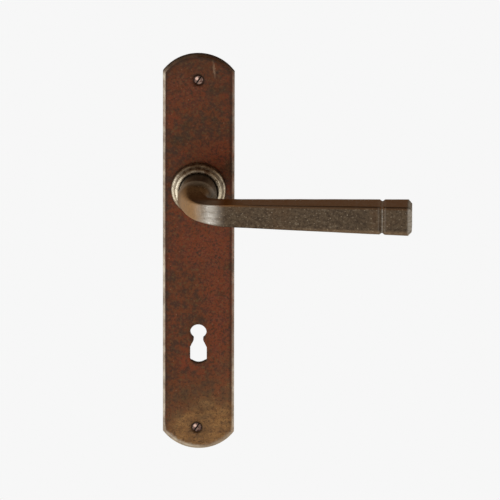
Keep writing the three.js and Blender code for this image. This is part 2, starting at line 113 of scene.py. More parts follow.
def makeStudio():
    scene = bpy.context.scene
    scene.view_settings.view_transform = "Standard"
    world = bpy.data.worlds.new("studio")
    world.use_nodes = True
    tree = world.node_tree
    background = tree.nodes["Background"]
    heading = shaderNode(tree, "ShaderNodeSeparateXYZ")
    tree.links.new(shaderNode(tree, "ShaderNodeTexCoord").outputs["Generated"], heading.inputs[0])
    shade = shaderNode(tree, "ShaderNodeValToRGB")
    lift = shaderNode(tree, "ShaderNodeMapRange")
    lift.inputs["From Min"].default_value = -1
    tree.links.new(heading.outputs["Z"], lift.inputs["Value"])
    tree.links.new(lift.outputs[0], shade.inputs["Fac"])
    stops = shade.color_ramp.elements
    stops.new(0.5)
    for stop, (place, name) in zip(stops, ((0.2, "below"), (0.47, "level"), (0.72, "above"))):
        stop.position = place
        stop.color = (*studio[name], 1)
    seen = shaderNode(tree, "ShaderNodeLightPath")
    choice = shaderNode(tree, "ShaderNodeMix", data_type="RGBA")
    tree.links.new(seen.outputs["Is Camera Ray"], choice.inputs[0])
    tree.links.new(shade.outputs["Color"], choice.inputs[6])
    choice.inputs[7].default_value = (*studio["pale"], 1)
    tree.links.new(choice.outputs[2], background.inputs["Color"])
    scene.world = world
    for name, (place, aim, width, height, bright, colour) in studio["lights"].items():
        data = bpy.data.lights.new(name, "AREA")
        data.shape = "RECTANGLE"
        data.size, data.size_y = width * mm, height * mm
        data.energy = bright * math.pi * data.size * data.size_y
        data.color = colour
        light = bpy.data.objects.new(name, data)
        light.location = Vector(place) * mm
        light.rotation_euler = (Vector(aim) - Vector(place)).to_track_quat("-Z", "Y").to_euler()
        bpy.context.collection.objects.link(light)
    half = studio["floorSize"] / 2 * mm
    mesh = bpy.data.meshes.new("floor")
    corners = [(-half, -half, 0), (half, -half, 0), (half, half, 0), (-half, half, 0)]
    mesh.from_pydata(corners, [], [(0, 1, 2, 3)])
    floor = bpy.data.objects.new("floor", mesh)
    floor.location.z = -studio["floorDrop"] * mm
    bpy.context.collection.objects.link(floor)
    paint = bpy.data.materials.new("pale_floor")
    paint.use_nodes = True
    tree = paint.node_tree
    tree.nodes.clear()
    glow = shaderNode(tree, "ShaderNodeEmission")
    glow.inputs["Color"].default_value = (*studio["pale"], 1)
    clear = shaderNode(tree, "ShaderNodeBsdfTransparent")
    side = shaderNode(tree, "ShaderNodeNewGeometry")
    either = shaderNode(tree, "ShaderNodeMixShader")
    out = shaderNode(tree, "ShaderNodeOutputMaterial")
    tree.links.new(side.outputs["Backfacing"], either.inputs[0])     # clear when looked at from underneath
    tree.links.new(glow.outputs[0], either.inputs[1])
    tree.links.new(clear.outputs[0], either.inputs[2])
    tree.links.new(either.outputs[0], out.inputs["Surface"])
    mesh.materials.append(paint)
    floor.visible_glossy = False     # the floor is only a backdrop; the metal mirrors the studio
    floor.visible_diffuse = False


makeCamera()
makeStudio()
print("camera and studio ready")


# finishes

def tone(red, green, blue):
    # a colour as seen on a screen, made linear
    def linear(part):
        level = part / 255
        return level / 12.92 if part <= 10 else ((level + 0.055) / 1.055) ** 2.4

    return tuple(linear(part) for part in (red, green, blue))


class Paint:
    # a material under construction: each call adds one node and hands back its output

    def __init__(self, name):
        self.material = bpy.data.materials.new(name)
        self.material.use_nodes = True
        self.tree = self.material.node_tree
        self.shader = self.tree.nodes["Principled BSDF"]
        self.place = shaderNode(self.tree, "ShaderNodeTexCoord").outputs["Object"]

    def put(self, socket, value):
        if isinstance(value, bpy.types.NodeSocket):
            self.tree.links.new(value, socket)
        elif isinstance(value, tuple) and len(value) == 3 and socket.type == "RGBA":
            socket.default_value = (*value, 1)
        else:
            socket.default_value = value

    def math(self, operation, a, b=0.0, c=0.0):
        node = shaderNode(self.tree, "ShaderNodeMath", operation=operation)
        for socket, value in zip(node.inputs, (a, b, c)):
            self.put(socket, value)
        return node.outputs[0]

    def noise(self, scale, detail=4.0, rough=0.55, stretch=(1, 1, 1), shift=(0, 0, 0)):
        mapping = shaderNode(self.tree, "ShaderNodeMapping")
        mapping.inputs["Scale"].default_value = stretch
        mapping.inputs["Location"].default_value = shift
        self.put(mapping.inputs["Vector"], self.place)
        node = shaderNode(self.tree, "ShaderNodeTexNoise")
        self.put(node.inputs["Vector"], mapping.outputs[0])
        self.put(node.inputs["Scale"], float(scale))
        self.put(node.inputs["Detail"], detail)
        self.put(node.inputs["Roughness"], rough)
        return node.outputs["Fac"]

    def cells(self, scale, shift=(0, 0, 0)):
        mapping = shaderNode(self.tree, "ShaderNodeMapping")
        mapping.inputs["Location"].default_value = shift
        self.put(mapping.inputs["Vector"], self.place)
        node = shaderNode(self.tree, "ShaderNodeTexVoronoi")
        self.put(node.inputs["Vector"], mapping.outputs[0])
        self.put(node.inputs["Scale"], float(scale))
        return node.outputs["Distance"]

    def span(self, value, low, high, toLow=0.0, toHigh=1.0):
        node = shaderNode(self.tree, "ShaderNodeMapRange", interpolation_type="SMOOTHSTEP")
        names = ("Value", "From Min", "From Max", "To Min", "To Max")
        for key, given in zip(names, (value, low, high, toLow, toHigh)):
            self.put(node.inputs[key], given)
        return node.outputs["Result"]

    def blend(self, amount, first, second):
        node = shaderNode(self.tree, "ShaderNodeMix", data_type="RGBA")
        self.put(node.inputs[0], amount)
        self.put(node.inputs[6], first)
        self.put(node.inputs[7], second)
        return node.outputs[2]

    def axis(self, letter):
        node = shaderNode(self.tree, "ShaderNodeSeparateXYZ")
        self.put(node.inputs[0], self.place)
        return self.math("DIVIDE", node.outputs[letter.upper()], mm)

    def own(self, name):
        return shaderNode(self.tree, "ShaderNodeAttribute", attribute_name=name).outputs["Fac"]

    def spot(self, centre, size, soft, slant=0.0):
        # 1 inside a soft ellipse on the front, centre and size in X and Z; slant leans it
        up = self.math("SUBTRACT", self.axis("z"), centre[1])
        across = self.math("SUBTRACT", self.axis("x"), self.math("MULTIPLY_ADD", up, slant, centre[0]))
        x = self.math("DIVIDE", across, size[0])
        z = self.math("DIVIDE", up, size[1])
        squares = self.math("ADD", self.math("MULTIPLY", x, x), self.math("MULTIPLY", z, z))
        return self.span(self.math("SQRT", squares), 1 - soft, 1 + soft, 1.0, 0.0)

    def bump(self, height, strength, depth):
        node = shaderNode(self.tree, "ShaderNodeBump")
        node.inputs["Strength"].default_value = strength
        node.inputs["Distance"].default_value = depth * mm
        self.put(node.inputs["Height"], height)
        return node.outputs["Normal"]

    def finish(self, colour, metal, rough, normal=None):
        self.put(self.shader.inputs["Base Color"], colour)
        self.put(self.shader.inputs["Metallic"], metal)
        self.put(self.shader.inputs["Roughness"], rough)
        if normal is not None:
            self.put(self.shader.inputs["Normal"], normal)
        return self.material


plateLook = {
    "deep": tone(70, 35, 17),
    "brown": tone(117, 61, 29),
    "rust": tone(134, 56, 27),
    "umber": tone(60, 42, 23),
    "moss": tone(98, 76, 44),
    "olive": tone(120, 88, 54),
    "gold": tone(166, 124, 74),
    "speck": tone(168, 140, 116),
    # bright stands for both bare metal and painted highlight, line for both pits and painted shade
    "bright": tone(216, 208, 194),
    "line": tone(38, 22, 14),
    "metal": 0.45,
    "rough": (0.40, 0.60),
    # where rust shows most: centre and size, in X and Z
    "rustPatches": (
        ((13, 21), (13, 9)),
        ((6, -36), (22, 15)),
        ((12, -62), (10, 24)),
        ((-8, 62), (14, 12)),
        ((12, -92), (7, 22)),
    ),
    "scuff": ((9.0, 74.3), (0.6, 5.4)),     # beside the top screw
}


def platePaint():
    look = plateLook
    paint = Paint("plate_patina")
    cloud = paint.noise(38, 5, 0.62)
    mottle = paint.noise(240, 6, 0.70)
    fleck = paint.noise(620, 4, 0.75, shift=(2, 0, 5))
    grain = paint.noise(1300, 4, 0.7)
    colour = paint.blend(paint.span(mottle, 0.40, 0.60), look["deep"], look["brown"])
    rusty = paint.math("MULTIPLY", paint.span(cloud, 0.46, 0.66), paint.span(mottle, 0.34, 0.62))
    for centre, size in look["rustPatches"]:
        patch = paint.math("MULTIPLY", paint.spot(centre, size, 0.75), paint.span(fleck, 0.36, 0.60))
        rusty = paint.math("MAXIMUM", rusty, patch)
    colour = paint.blend(paint.math("MULTIPLY", rusty, 0.8), colour, look["rust"])
    dark = paint.span(paint.noise(60, 4, 0.6, shift=(3, 1, 2)), 0.50, 0.70, 0.0, 0.75)
    # darker towards the top
    high = paint.span(paint.axis("z"), 35, 95, 0.0, 0.5)
    colour = paint.blend(paint.math("MAXIMUM", dark, high), colour, look["umber"])
    # towards the lower end the colour turns olive and gold, along a slanting line
    wander = paint.math("MULTIPLY_ADD", paint.noise(34, 4, 0.6, shift=(7, 0, 4)), 60.0, -30.0)
    height = paint.math("ADD", paint.math("MULTIPLY_ADD", paint.axis("x"), -0.5, paint.axis("z")), wander)
    colour = paint.blend(paint.span(height, -104, -164, 0.0, 0.85), colour, look["olive"])
    streaks = paint.noise(260, 5, 0.7, stretch=(0.5, 1, 1), shift=(1, 2, 2))
    stripe = paint.span(height, -132, -148)
    stripe = paint.math("MULTIPLY", stripe, paint.span(height, -172, -154, 0.5, 1.0))
    stripe = paint.math("MULTIPLY", stripe, paint.span(streaks, 0.38, 0.62, 0.15, 0.85))
    colour = paint.blend(stripe, colour, look["gold"])
    colour = paint.blend(paint.span(fleck, 0.52, 0.64, 0.0, 0.8), colour, look["moss"])
    colour = paint.blend(paint.span(fleck, 0.49, 0.37, 0.0, 0.75), colour, look["umber"])
    specks = paint.span(paint.cells(420), 0.24, 0.10)
    specks = paint.math("MULTIPLY", specks, paint.span(mottle, 0.50, 0.64, 0.0, 0.45))
    colour = paint.blend(specks, colour, look["speck"])
    pits = paint.span(paint.cells(300, (2, 5, 1)), 0.26, 0.12)
    pits = paint.math("MULTIPLY", pits, paint.span(mottle, 0.50, 0.38))
    colour = paint.blend(paint.math("MULTIPLY", pits, 0.6), colour, look["line"])
    scuff = paint.spot(*look["scuff"], 0.45, slant=-0.1)
    scuff = paint.math("MULTIPLY", scuff, paint.span(fleck, 0.35, 0.6, 0.2, 0.6))
    colour = paint.blend(scuff, colour, look["speck"])
    # painted shade: darker in the recesses, round the screws and the collar, and along the top edge
    colour = paint.blend(paint.math("MULTIPLY", paint.own("grime_and_shade"), 0.85), colour, look["line"])
    broken = paint.noise(170, 5, 0.7, shift=(1, 8, 3))
    # bare metal on the bevel, with painted highlight where the lights would catch it
    rub_and_highlight = paint.math("MULTIPLY", paint.own("wear_and_highlight"), paint.span(broken, 0.28, 0.60, 0.45, 1.0))
    colour = paint.blend(rub_and_highlight, colour, look["bright"])
    metal = paint.span(rub_and_highlight, 0.0, 1.0, look["metal"], 0.95)
    rough = paint.span(mottle, 0.3, 0.7, *look["rough"])
    rough = paint.math("SUBTRACT", rough, paint.math("MULTIPLY", rub_and_highlight, 0.10))
    relief = paint.math("ADD", paint.math("MULTIPLY", mottle, 0.6), paint.math("MULTIPLY", grain, 0.25))
    relief = paint.math("SUBTRACT", relief, paint.math("MULTIPLY", pits, 0.35))
    return paint.finish(colour, metal, rough, paint.bump(relief, 0.55, 0.16))


leverLook = {
    "deep": tone(54, 42, 31),
    "grey": tone(104, 90, 73),
    "warm": tone(104, 76, 50),
    # gold, top, bright and black are painted light: the lit gold of the bend's left side, the top's warm
    # reflection, highlights with rubbed metal, and shade
    "gold": tone(186, 146, 100),
    "top": tone(122, 77, 16),
    "bright": tone(214, 212, 206),
    "black": tone(34, 24, 16),
    "speck": tone(176, 164, 144),
    "metal": 0.72,
    "rough": (0.32, 0.52),
}


def leverPaint():
    look = leverLook
    paint = Paint("lever_patina")
    cloud = paint.noise(46, 5, 0.6)
    mottle = paint.noise(620, 6, 0.75)
    fleck = paint.noise(1100, 4, 0.75, shift=(4, 1, 2))
    grain = paint.noise(1900, 4, 0.7)
    colour = paint.blend(paint.span(mottle, 0.34, 0.66), look["deep"], look["grey"])
    colour = paint.blend(paint.span(cloud, 0.52, 0.74, 0.0, 0.4), colour, look["warm"])
    colour = paint.blend(paint.span(fleck, 0.50, 0.34, 0.0, 0.4), colour, look["deep"])
    scratch = paint.noise(700, 4, 0.7, stretch=(0.45, 1, 1), shift=(3, 3, 1))
    colour = paint.blend(paint.span(scratch, 0.56, 0.70, 0.0, 0.30), colour, look["speck"])
    specks = paint.span(paint.cells(620), 0.30, 0.12)
    specks = paint.math("MULTIPLY", specks, paint.span(fleck, 0.46, 0.60, 0.0, 0.7))
    colour = paint.blend(specks, colour, look["speck"])
    # painted warm light: a lit gold on the faces the mesh marks
    painted_warm_light = paint.own("painted_warm_light")
    golden = paint.math("MULTIPLY", painted_warm_light, paint.span(mottle, 0.3, 0.6, 0.65, 0.95))
    colour = paint.blend(golden, colour, look["gold"])
    # painted reflection: a warm brown on the top faces
    top = paint.math("MULTIPLY", paint.own("top"), paint.span(mottle, 0.3, 0.6, 0.75, 1.0))
    colour = paint.blend(top, colour, look["top"])
    # painted shade in the groove and along the upper front edge
    colour = paint.blend(paint.math("MULTIPLY", paint.own("grime_and_shade"), 0.9), colour, look["black"])
    drawn = paint.noise(300, 4, 0.65, stretch=(0.22, 0.5, 1.6))
    # painted highlights, and some rubbed metal, in bright streaks
    rub_and_highlight = paint.math("MULTIPLY", paint.own("wear_and_highlight"), paint.span(drawn, 0.30, 0.62, 0.45, 1.0))
    colour = paint.blend(rub_and_highlight, colour, look["bright"])
    # less metal under the painted warm light and the top's painted reflection, so that their colour shows
    painted_light_share = paint.math("MULTIPLY", paint.math("MAXIMUM", painted_warm_light, top), 0.35)
    skin = paint.math("SUBTRACT", look["metal"], painted_light_share)
    metal = paint.math("MAXIMUM", skin, paint.span(rub_and_highlight, 0.0, 1.0, 0.3, 1.0))
    rough = paint.span(mottle, 0.3, 0.7, *look["rough"])
    rough = paint.math("SUBTRACT", rough, paint.math("MULTIPLY", rub_and_highlight, 0.10))
    relief = paint.math("ADD", paint.math("MULTIPLY", mottle, 0.6), paint.math("MULTIPLY", grain, 0.3))
    return paint.finish(colour, metal, rough, paint.bump(relief, 0.55, 0.12))


# name, colour, lighter colour, metal, rough from and to, grain scale, bump depth
plainLooks = {
    "collar": ("collar_patina", tone(92, 65, 43), tone(236, 228, 208), 0.8, (0.24, 0.40), 380, 0.10),
    "screw": ("screw_worn", tone(66, 40, 34), tone(240, 208, 196), 0.9, (0.26, 0.42), 700, 0.10),
    "steel": ("steel_plain", tone(128, 128, 130), tone(186, 186, 186), 0.95, (0.28, 0.42), 900, 0.05),
    "oiled": ("steel_oiled", tone(38, 38, 42), tone(86, 86, 92), 0.85, (0.30, 0.46), 900, 0.05),
    "bronze": ("bronze_turned", tone(150, 108, 58), tone(214, 170, 104), 0.95, (0.28, 0.42), 800, 0.05),
    "nylon": ("nylon_moulded", tone(206, 198, 180), tone(228, 222, 208), 0.0, (0.42, 0.56), 500, 0.04),
}


def plainPaint(name, base, light, metal, rough, scale, depth):
    paint = Paint(name)
    mottle = paint.noise(scale, 5, 0.65)
    cloud = paint.noise(scale / 6, 4, 0.6)
    colour = paint.blend(paint.span(mottle, 0.38, 0.72, 0.0, 0.45), base, light)
    colour = paint.blend(paint.span(cloud, 0.55, 0.75, 0.0, 0.4), colour, tuple(0.45 * c for c in base))
    # painted highlight, with some rubbed metal, from the piece's own marks
    worn_and_highlight = paint.math("MULTIPLY", paint.own("wear_and_highlight"), paint.span(mottle, 0.25, 0.6, 0.5, 1.0))
    colour = paint.blend(worn_and_highlight, colour, light)
    # painted shade in hollows, slots and where the piece meets the plate
    grime_and_shade = paint.own("grime_and_shade")
    colour = paint.blend(paint.math("MULTIPLY", grime_and_shade, 0.95), colour, tuple(0.12 * c for c in base))
    metallic = paint.math("SUBTRACT", metal, paint.math("MULTIPLY", grime_and_shade, 0.8 * metal))
    roughness = paint.math("ADD", paint.span(mottle, 0.3, 0.7, *rough), paint.math("MULTIPLY", grime_and_shade, 0.3))
    return paint.finish(colour, metallic, roughness, paint.bump(mottle, 0.5, depth))


finishes = {"plate": platePaint(), "lever": leverPaint()}
for finishName, plainLook in plainLooks.items():
    finishes[finishName] = plainPaint(*plainLook)
print("finishes ready:", ", ".join(finishes))


# mesh helpers

def newObject(name, mesh):
    piece = bpy.data.objects.new(name, mesh)
    bpy.context.collection.objects.link(piece)
    return piece


def meshFrom(name, points, faces, material=None):
    # points in millimetres
    mesh = bpy.data.meshes.new(name)
    mesh.from_pydata([Vector(p) * mm for p in points], [], faces)
    if material:
        mesh.materials.append(material)
    return mesh


def tidyMesh(mesh, sharpAngle=32):
    # weld, point outwards, then smooth all but the sharp edges
    weld = 0.0005 * mm
    work = bmesh.new()
    work.from_mesh(mesh)
    bmesh.ops.remove_doubles(work, verts=work.verts, dist=weld)
    bmesh.ops.dissolve_degenerate(work, edges=work.edges, dist=weld)
    bmesh.ops.recalc_face_normals(work, faces=work.faces)
    work.to_mesh(mesh)
    work.free()
    mesh.polygons.foreach_set("use_smooth", [True] * len(mesh.polygons))
    mesh.set_sharp_from_angle(angle=math.radians(sharpAngle))
    mesh.update()
    return mesh


def setOwn(mesh, name, rule, facing=False):
    # a value for each point, by a rule on its place in millimetres, and on the way it faces where asked
    if facing:
        values = [min(1.0, max(0.0, rule(*(v.co / mm), v.normal))) for v in mesh.vertices]
    else:
        values = [min(1.0, max(0.0, rule(*(v.co / mm)))) for v in mesh.vertices]
    mesh.attributes.new(name, "FLOAT", "POINT").data.foreach_set("value", values)


def ramp(value, low, high):
    t = min(1.0, max(0.0, (value - low) / (high - low)))
    return t * t * (3 - 2 * t)


def ripple(x, y, z, size, seed=0.0):
    return noise.noise(Vector((x / size + seed, y / size, z / size - seed)))


def evaluated(piece):
    # the object's modifiers applied to a plain mesh, and the modifiers removed
    result = bpy.data.meshes.new_from_object(piece.evaluated_get(bpy.context.evaluated_depsgraph_get()))
    piece.modifiers.clear()
    old = piece.data
    piece.data = result
    bpy.data.meshes.remove(old)
    # one finish for the whole piece, the cut faces too
    used = [finish for finish in result.materials if finish]
    if used:
        result.materials.clear()
        result.materials.append(used[0])
        result.polygons.foreach_set("material_index", [0] * len(result.polygons))


def combine(piece, operation, *tools):
    for tool in tools:
        change = piece.modifiers.new("combine", "BOOLEAN")
        change.operation = operation
        change.solver = "EXACT"
        change.object = tool
    evaluated(piece)
    for tool in tools:
        bpy.data.objects.remove(tool)


def carve(piece, *tools):
    combine(piece, "DIFFERENCE", *tools)


def easeEdges(piece, width, sharpFrom):
    edge = piece.modifiers.new("eased edges", "BEVEL")
    edge.width = width * mm
    edge.segments = 2
    edge.limit_method = "ANGLE"
    edge.angle_limit = math.radians(sharpFrom)
    evaluated(piece)


def settle(piece, body, slot, *nodes):
    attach(piece, body)
    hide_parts(*nodes)


# geometry node trees

def newTree(name, sizes):
    tree = bpy.data.node_groups.new(name, "GeometryNodeTree")
    tree.interface.new_socket("Geometry", in_out="INPUT", socket_type="NodeSocketGeometry")
    tree.interface.new_socket("Geometry", in_out="OUTPUT", socket_type="NodeSocketGeometry")
    for label, kind in sizes:
        tree.interface.new_socket(label, in_out="INPUT", socket_type=kind)
    tree.interface.new_socket("Finish", in_out="INPUT", socket_type="NodeSocketMaterial")
    return tree, tree.nodes.new("NodeGroupInput").outputs, tree.nodes.new("NodeGroupOutput").inputs


def geoNode(tree, kind, inputs=None, **settings):
    node = tree.nodes.new(kind)
    for key, value in settings.items():
        setattr(node, key, value)
    for key, value in (inputs or {}).items():
        socket = node.inputs[key]
        if isinstance(value, bpy.types.NodeSocket):
            tree.links.new(value, socket)
        else:
            socket.default_value = value
    return node


def geoMath(tree, operation, a, b=0.0):
    return geoNode(tree, "ShaderNodeMath", {0: a, 1: b}, operation=operation).outputs[0]


def endTree(tree, shape, given, out):
    smooth = geoNode(tree, "GeometryNodeSetShadeSmooth", {"Geometry": shape})
    whole = geoNode(tree, "GeometryNodeRealizeInstances", {"Geometry": smooth.outputs[0]})
    dressed = geoNode(tree, "GeometryNodeSetMaterial", {
        "Geometry": whole.outputs[0], "Material": given["Finish"]})
    tree.links.new(dressed.outputs[0], out["Geometry"])
    return tree


def turningTree():
    # a half section, given as points (radius, y), turned about the Y axis
    # a thread stands on it between From and To
    sizes = [("Segments", "NodeSocketInt")]
    sizes += [(label, "NodeSocketFloat") for label in ("Thread", "Pitch", "From", "To", "Wobble", "Seed")]
    tree, given, out = newTree("turning", sizes)
    size = geoNode(
        tree, "GeometryNodeAttributeDomainSize", {"Geometry": given["Geometry"]}, component="MESH")
    count = size.outputs["Point Count"]
    around = geoMath(tree, "ADD", given["Segments"], 1.0)
    grid = geoNode(tree, "GeometryNodeMeshGrid", {"Vertices X": around, "Vertices Y": count})
    index = geoNode(tree, "GeometryNodeInputIndex").outputs[0]
    middle = geoMath(tree, "ADD", index, 0.5)
    step = geoMath(tree, "FLOOR", geoMath(tree, "DIVIDE", middle, count))
    along = geoMath(tree, "SUBTRACT", index, geoMath(tree, "MULTIPLY", step, count))
    place = geoNode(tree, "GeometryNodeInputPosition").outputs[0]
    section = geoNode(
        tree, "GeometryNodeSampleIndex", {"Geometry": given["Geometry"], "Value": place, "Index": along},
        data_type="FLOAT_VECTOR", domain="POINT")
    parts = geoNode(tree, "ShaderNodeSeparateXYZ", {0: section.outputs[0]}).outputs
    turns = geoMath(tree, "DIVIDE", step, given["Segments"])
    angle = geoMath(tree, "MULTIPLY", turns, tau)
    # the thread's ridge climbs one pitch for each turn
    climb = geoMath(tree, "SUBTRACT", geoMath(tree, "DIVIDE", parts["Y"], given["Pitch"]), turns)
    climb = geoMath(tree, "MULTIPLY", geoMath(tree, "FRACT", climb), 2.0)
    ridge = geoMath(tree, "SUBTRACT", 1.0, geoMath(tree, "ABSOLUTE", geoMath(tree, "SUBTRACT", climb, 1.0)))
    ridge = geoMath(tree, "POWER", ridge, 1.6)
    begun = geoMath(tree, "GREATER_THAN", parts["Y"], given["From"])
    going = geoMath(tree, "LESS_THAN", parts["Y"], given["To"])
    threaded = geoMath(tree, "MULTIPLY", begun, going)
    # over the last 4 mm it grows slimmer
    slim = geoNode(tree, "ShaderNodeMapRange", {
        "Value": parts["Y"], "From Min": geoMath(tree, "SUBTRACT", given["To"], 4 * mm),
        "From Max": given["To"], "To Min": 1.0, "To Max": 0.4}).outputs["Result"]
    thread = geoMath(tree, "MULTIPLY", geoMath(tree, "MULTIPLY", ridge, slim), given["Thread"])
    radius = geoMath(tree, "ADD", parts["X"], geoMath(tree, "MULTIPLY", threaded, thread))
    spun = geoNode(tree, "ShaderNodeCombineXYZ", {
        "X": geoMath(tree, "MULTIPLY", radius, geoMath(tree, "COSINE", angle)),
        "Y": parts["Y"],
        "Z": geoMath(tree, "MULTIPLY", radius, geoMath(tree, "SINE", angle)),
    })
    shaped = geoNode(tree, "GeometryNodeSetPosition", {
        "Geometry": grid.outputs["Mesh"], "Position": spun.outputs[0]})
    welded = geoNode(tree, "GeometryNodeMergeByDistance", {
        "Geometry": shaped.outputs[0], "Distance": 0.002 * mm})
    # a hand-turned surface wavers a little, always inwards
    uneven = geoNode(
        tree, "ShaderNodeTexNoise", {"W": given["Seed"], "Scale": 130.0, "Detail": 2.0},
        noise_dimensions="4D")
    inward = geoMath(tree, "MULTIPLY", geoMath(tree, "MULTIPLY", uneven.outputs[0], given["Wobble"]), -1.0)
    normal = geoNode(tree, "GeometryNodeInputNormal").outputs[0]
    offset = geoNode(tree, "ShaderNodeVectorMath", {0: normal, "Scale": inward}, operation="SCALE")
    wavered = geoNode(tree, "GeometryNodeSetPosition", {
        "Geometry": welded.outputs[0], "Offset": offset.outputs[0]})
    return endTree(tree, wavered.outputs[0], given, out)


def sweepTree():
    # a path, given as joined points, followed by a round section
    tree, given, out = newTree("sweep", [("Radius", "NodeSocketFloat"), ("Sides", "NodeSocketInt")])
    path = geoNode(tree, "GeometryNodeMeshToCurve", {"Mesh": given["Geometry"]})
    ring = geoNode(tree, "GeometryNodeCurvePrimitiveCircle", {
        "Resolution": given["Sides"], "Radius": given["Radius"]})
    tube = geoNode(tree, "GeometryNodeCurveToMesh", {
        "Curve": path.outputs[0], "Profile Curve": ring.outputs["Curve"], "Fill Caps": True})
    return endTree(tree, tube.outputs[0], given, out)


def circleTree():
    # copies of one piece around the Y axis, each turned to face it
    tree, given, out = newTree("around", [
        ("Count", "NodeSocketInt"), ("Radius", "NodeSocketFloat"), ("Start", "NodeSocketFloat"),
        ("Spacing", "NodeSocketFloat"), ("Twist", "NodeSocketFloat")])
    index = geoNode(tree, "GeometryNodeInputIndex").outputs[0]
    angle = geoMath(tree, "ADD", given["Start"], geoMath(tree, "MULTIPLY", index, given["Spacing"]))
    place = geoNode(tree, "ShaderNodeCombineXYZ", {
        "X": geoMath(tree, "MULTIPLY", geoMath(tree, "COSINE", angle), given["Radius"]),
        "Z": geoMath(tree, "MULTIPLY", geoMath(tree, "SINE", angle), given["Radius"]),
    })
    points = geoNode(tree, "GeometryNodePoints", {"Count": given["Count"], "Position": place.outputs[0]})
    twist = geoNode(tree, "ShaderNodeCombineXYZ", {"Y": geoMath(tree, "MULTIPLY", index, given["Twist"])})
    copies = geoNode(tree, "GeometryNodeInstanceOnPoints", {
        "Points": points.outputs[0], "Instance": given["Geometry"], "Rotation": twist.outputs[0]})
    return endTree(tree, copies.outputs[0], given, out)


trees = {"turning": turningTree(), "sweep": sweepTree(), "around": circleTree()}


def grow(name, mesh, tree, finish, sharpAngle=32, **sizes):
    # runs a node tree on a mesh and keeps the result as a plain mesh
    piece = newObject(name, mesh)
    nodes = piece.modifiers.new(tree, "NODES")
    nodes.node_group = trees[tree]
    sizes.setdefault("Pitch", mm)     # a piece without a thread still divides by it
    for item in trees[tree].interface.items_tree:
        if item.in_out == "INPUT" and item.name in sizes:
            nodes[item.identifier] = sizes[item.name]
        elif item.in_out == "INPUT" and item.name == "Finish":
            nodes[item.identifier] = finish
    evaluated(piece)
    tidyMesh(piece.data, sharpAngle)
    return piece


def rounded(corners, radius=0.15, steps=3):
    # a closed half section with its corners eased; a corner may name its own radius
    count = len(corners)
    points = []
    for i, corner in enumerate(corners):
        here = Vector(corner[:2])
        own = corner[2] if len(corner) > 2 else radius
        if own == 0:
            points.append(here)
            continue
        before = Vector(corners[i - 1][:2]) - here
        after = Vector(corners[(i + 1) % count][:2]) - here
        own = min(own, before.length * 0.45, after.length * 0.45)
        start, end = here + before.normalized() * own, here + after.normalized() * own
        for k in range(steps + 1):
            t = k / steps
            points.append((start * (1 - t) + here * t) * (1 - t) + (here * (1 - t) + end * t) * t)
    points.append(points[0].copy())
    return [(point.x, point.y) for point in points]


def profileFrom(name, section):
    # a half section (radius, y) as the points that the turning tree takes
    return meshFrom(name, [(radius, y, 0) for radius, y in section], [])


def turnedPiece(name, corners, finish, segments=96, radius=0.15):
    profile = profileFrom(name, rounded(corners, radius))
    return grow(name, profile, "turning", finishes[finish], Segments=segments)


print("node trees ready")


def smoothValue(values, t):
    # a smooth curve through evenly numbered values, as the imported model's neck uses; t runs from 0 to 1
    last = len(values) - 1
    place = last * t
    i = min(int(place), last - 1)
    w = place - i
    a = values[i - 1] if i > 0 else 2 * values[0] - values[1]
    b, c = values[i], values[i + 1]
    d = values[i + 2] if i + 2 <= last else 2 * values[last] - values[last - 1]
    spans = [math.sqrt(math.hypot(1, q - p)) for p, q in ((a, b), (b, c), (c, d))]
    slopeB = ((b - a) / spans[0] - (c - a) / (spans[0] + spans[1]) + (c - b) / spans[1]) * spans[1]
    slopeC = ((c - b) / spans[1] - (d - b) / (spans[1] + spans[2]) + (d - c) / spans[2]) * spans[1]
    square = 3 * (c - b) - 2 * slopeB - slopeC
    cube = 2 * (b - c) + slopeB + slopeC
    return b + slopeB * w + square * w ** 2 + cube * w ** 3


class Skin:
    # points and faces of a piece, gathered ring by ring

    def __init__(self):
        self.points = []
        self.faces = []

    def ring(self, points):
        start = len(self.points)
        self.points.extend(points)
        return list(range(start, len(self.points)))

    def bridge(self, one, two):
        for i in range(len(one)):
            j = (i + 1) % len(one)
            self.faces.append((one[i], one[j], two[j], two[i]))

    def rings(self, loops):
        made = [self.ring(loop) for loop in loops]
        for one, two in zip(made, made[1:]):
            self.bridge(one, two)
        return made

    def fan(self, ring):
        count = len(ring)
        middle = tuple(sum(self.points[i][k] for i in ring) / count for k in range(3))
        self.points.append(middle)
        for i in range(count):
            self.faces.append((ring[i], ring[(i + 1) % count], len(self.points) - 1))

    def sheet(self, loops, height, spacing=0.0):
        # a flat face in X and Z inside the first loop and outside the others, with points strewn over it
        flat = [Vector((p[0], p[2])) for loop in loops for p in loop]
        given = [p for loop in loops for p in loop]
        edges = []
        start = 0
        for loop in loops:
            edges.extend((start + i, start + (i + 1) % len(loop)) for i in range(len(loop)))
            start += len(loop)
        if spacing:
            near = nearestOf(flat)
            lowX, highX = min(p.x for p in flat), max(p.x for p in flat)
            lowZ, highZ = min(p.y for p in flat), max(p.y for p in flat)
            rows = int((highZ - lowZ) / (spacing * 0.866))
            for row in range(1, rows):
                z = lowZ + row * spacing * 0.866
                x = lowX + spacing * (0.5 if row % 2 else 1.0)
                while x < highX:
                    spot = Vector((x, z))
                    if near.find((x, z, 0))[2] > spacing * 0.62 and inside(spot, loops):
                        flat.append(spot)
                        given.append((x, height(x, z), z))
                    x += spacing
        found = geometry.delaunay_2d_cdt(flat, edges, [], 0, 1e-5)
        source = found[3]
        index = [self.ring([given[ids[0]]])[0] if ids else None for ids in source]
        for triangle in found[2]:
            centre = (found[0][triangle[0]] + found[0][triangle[1]] + found[0][triangle[2]]) / 3
            if inside(centre, loops):
                self.faces.append(tuple(index[i] for i in triangle))

    def mesh(self, name, material):
        return meshFrom(name, self.points, self.faces, material)


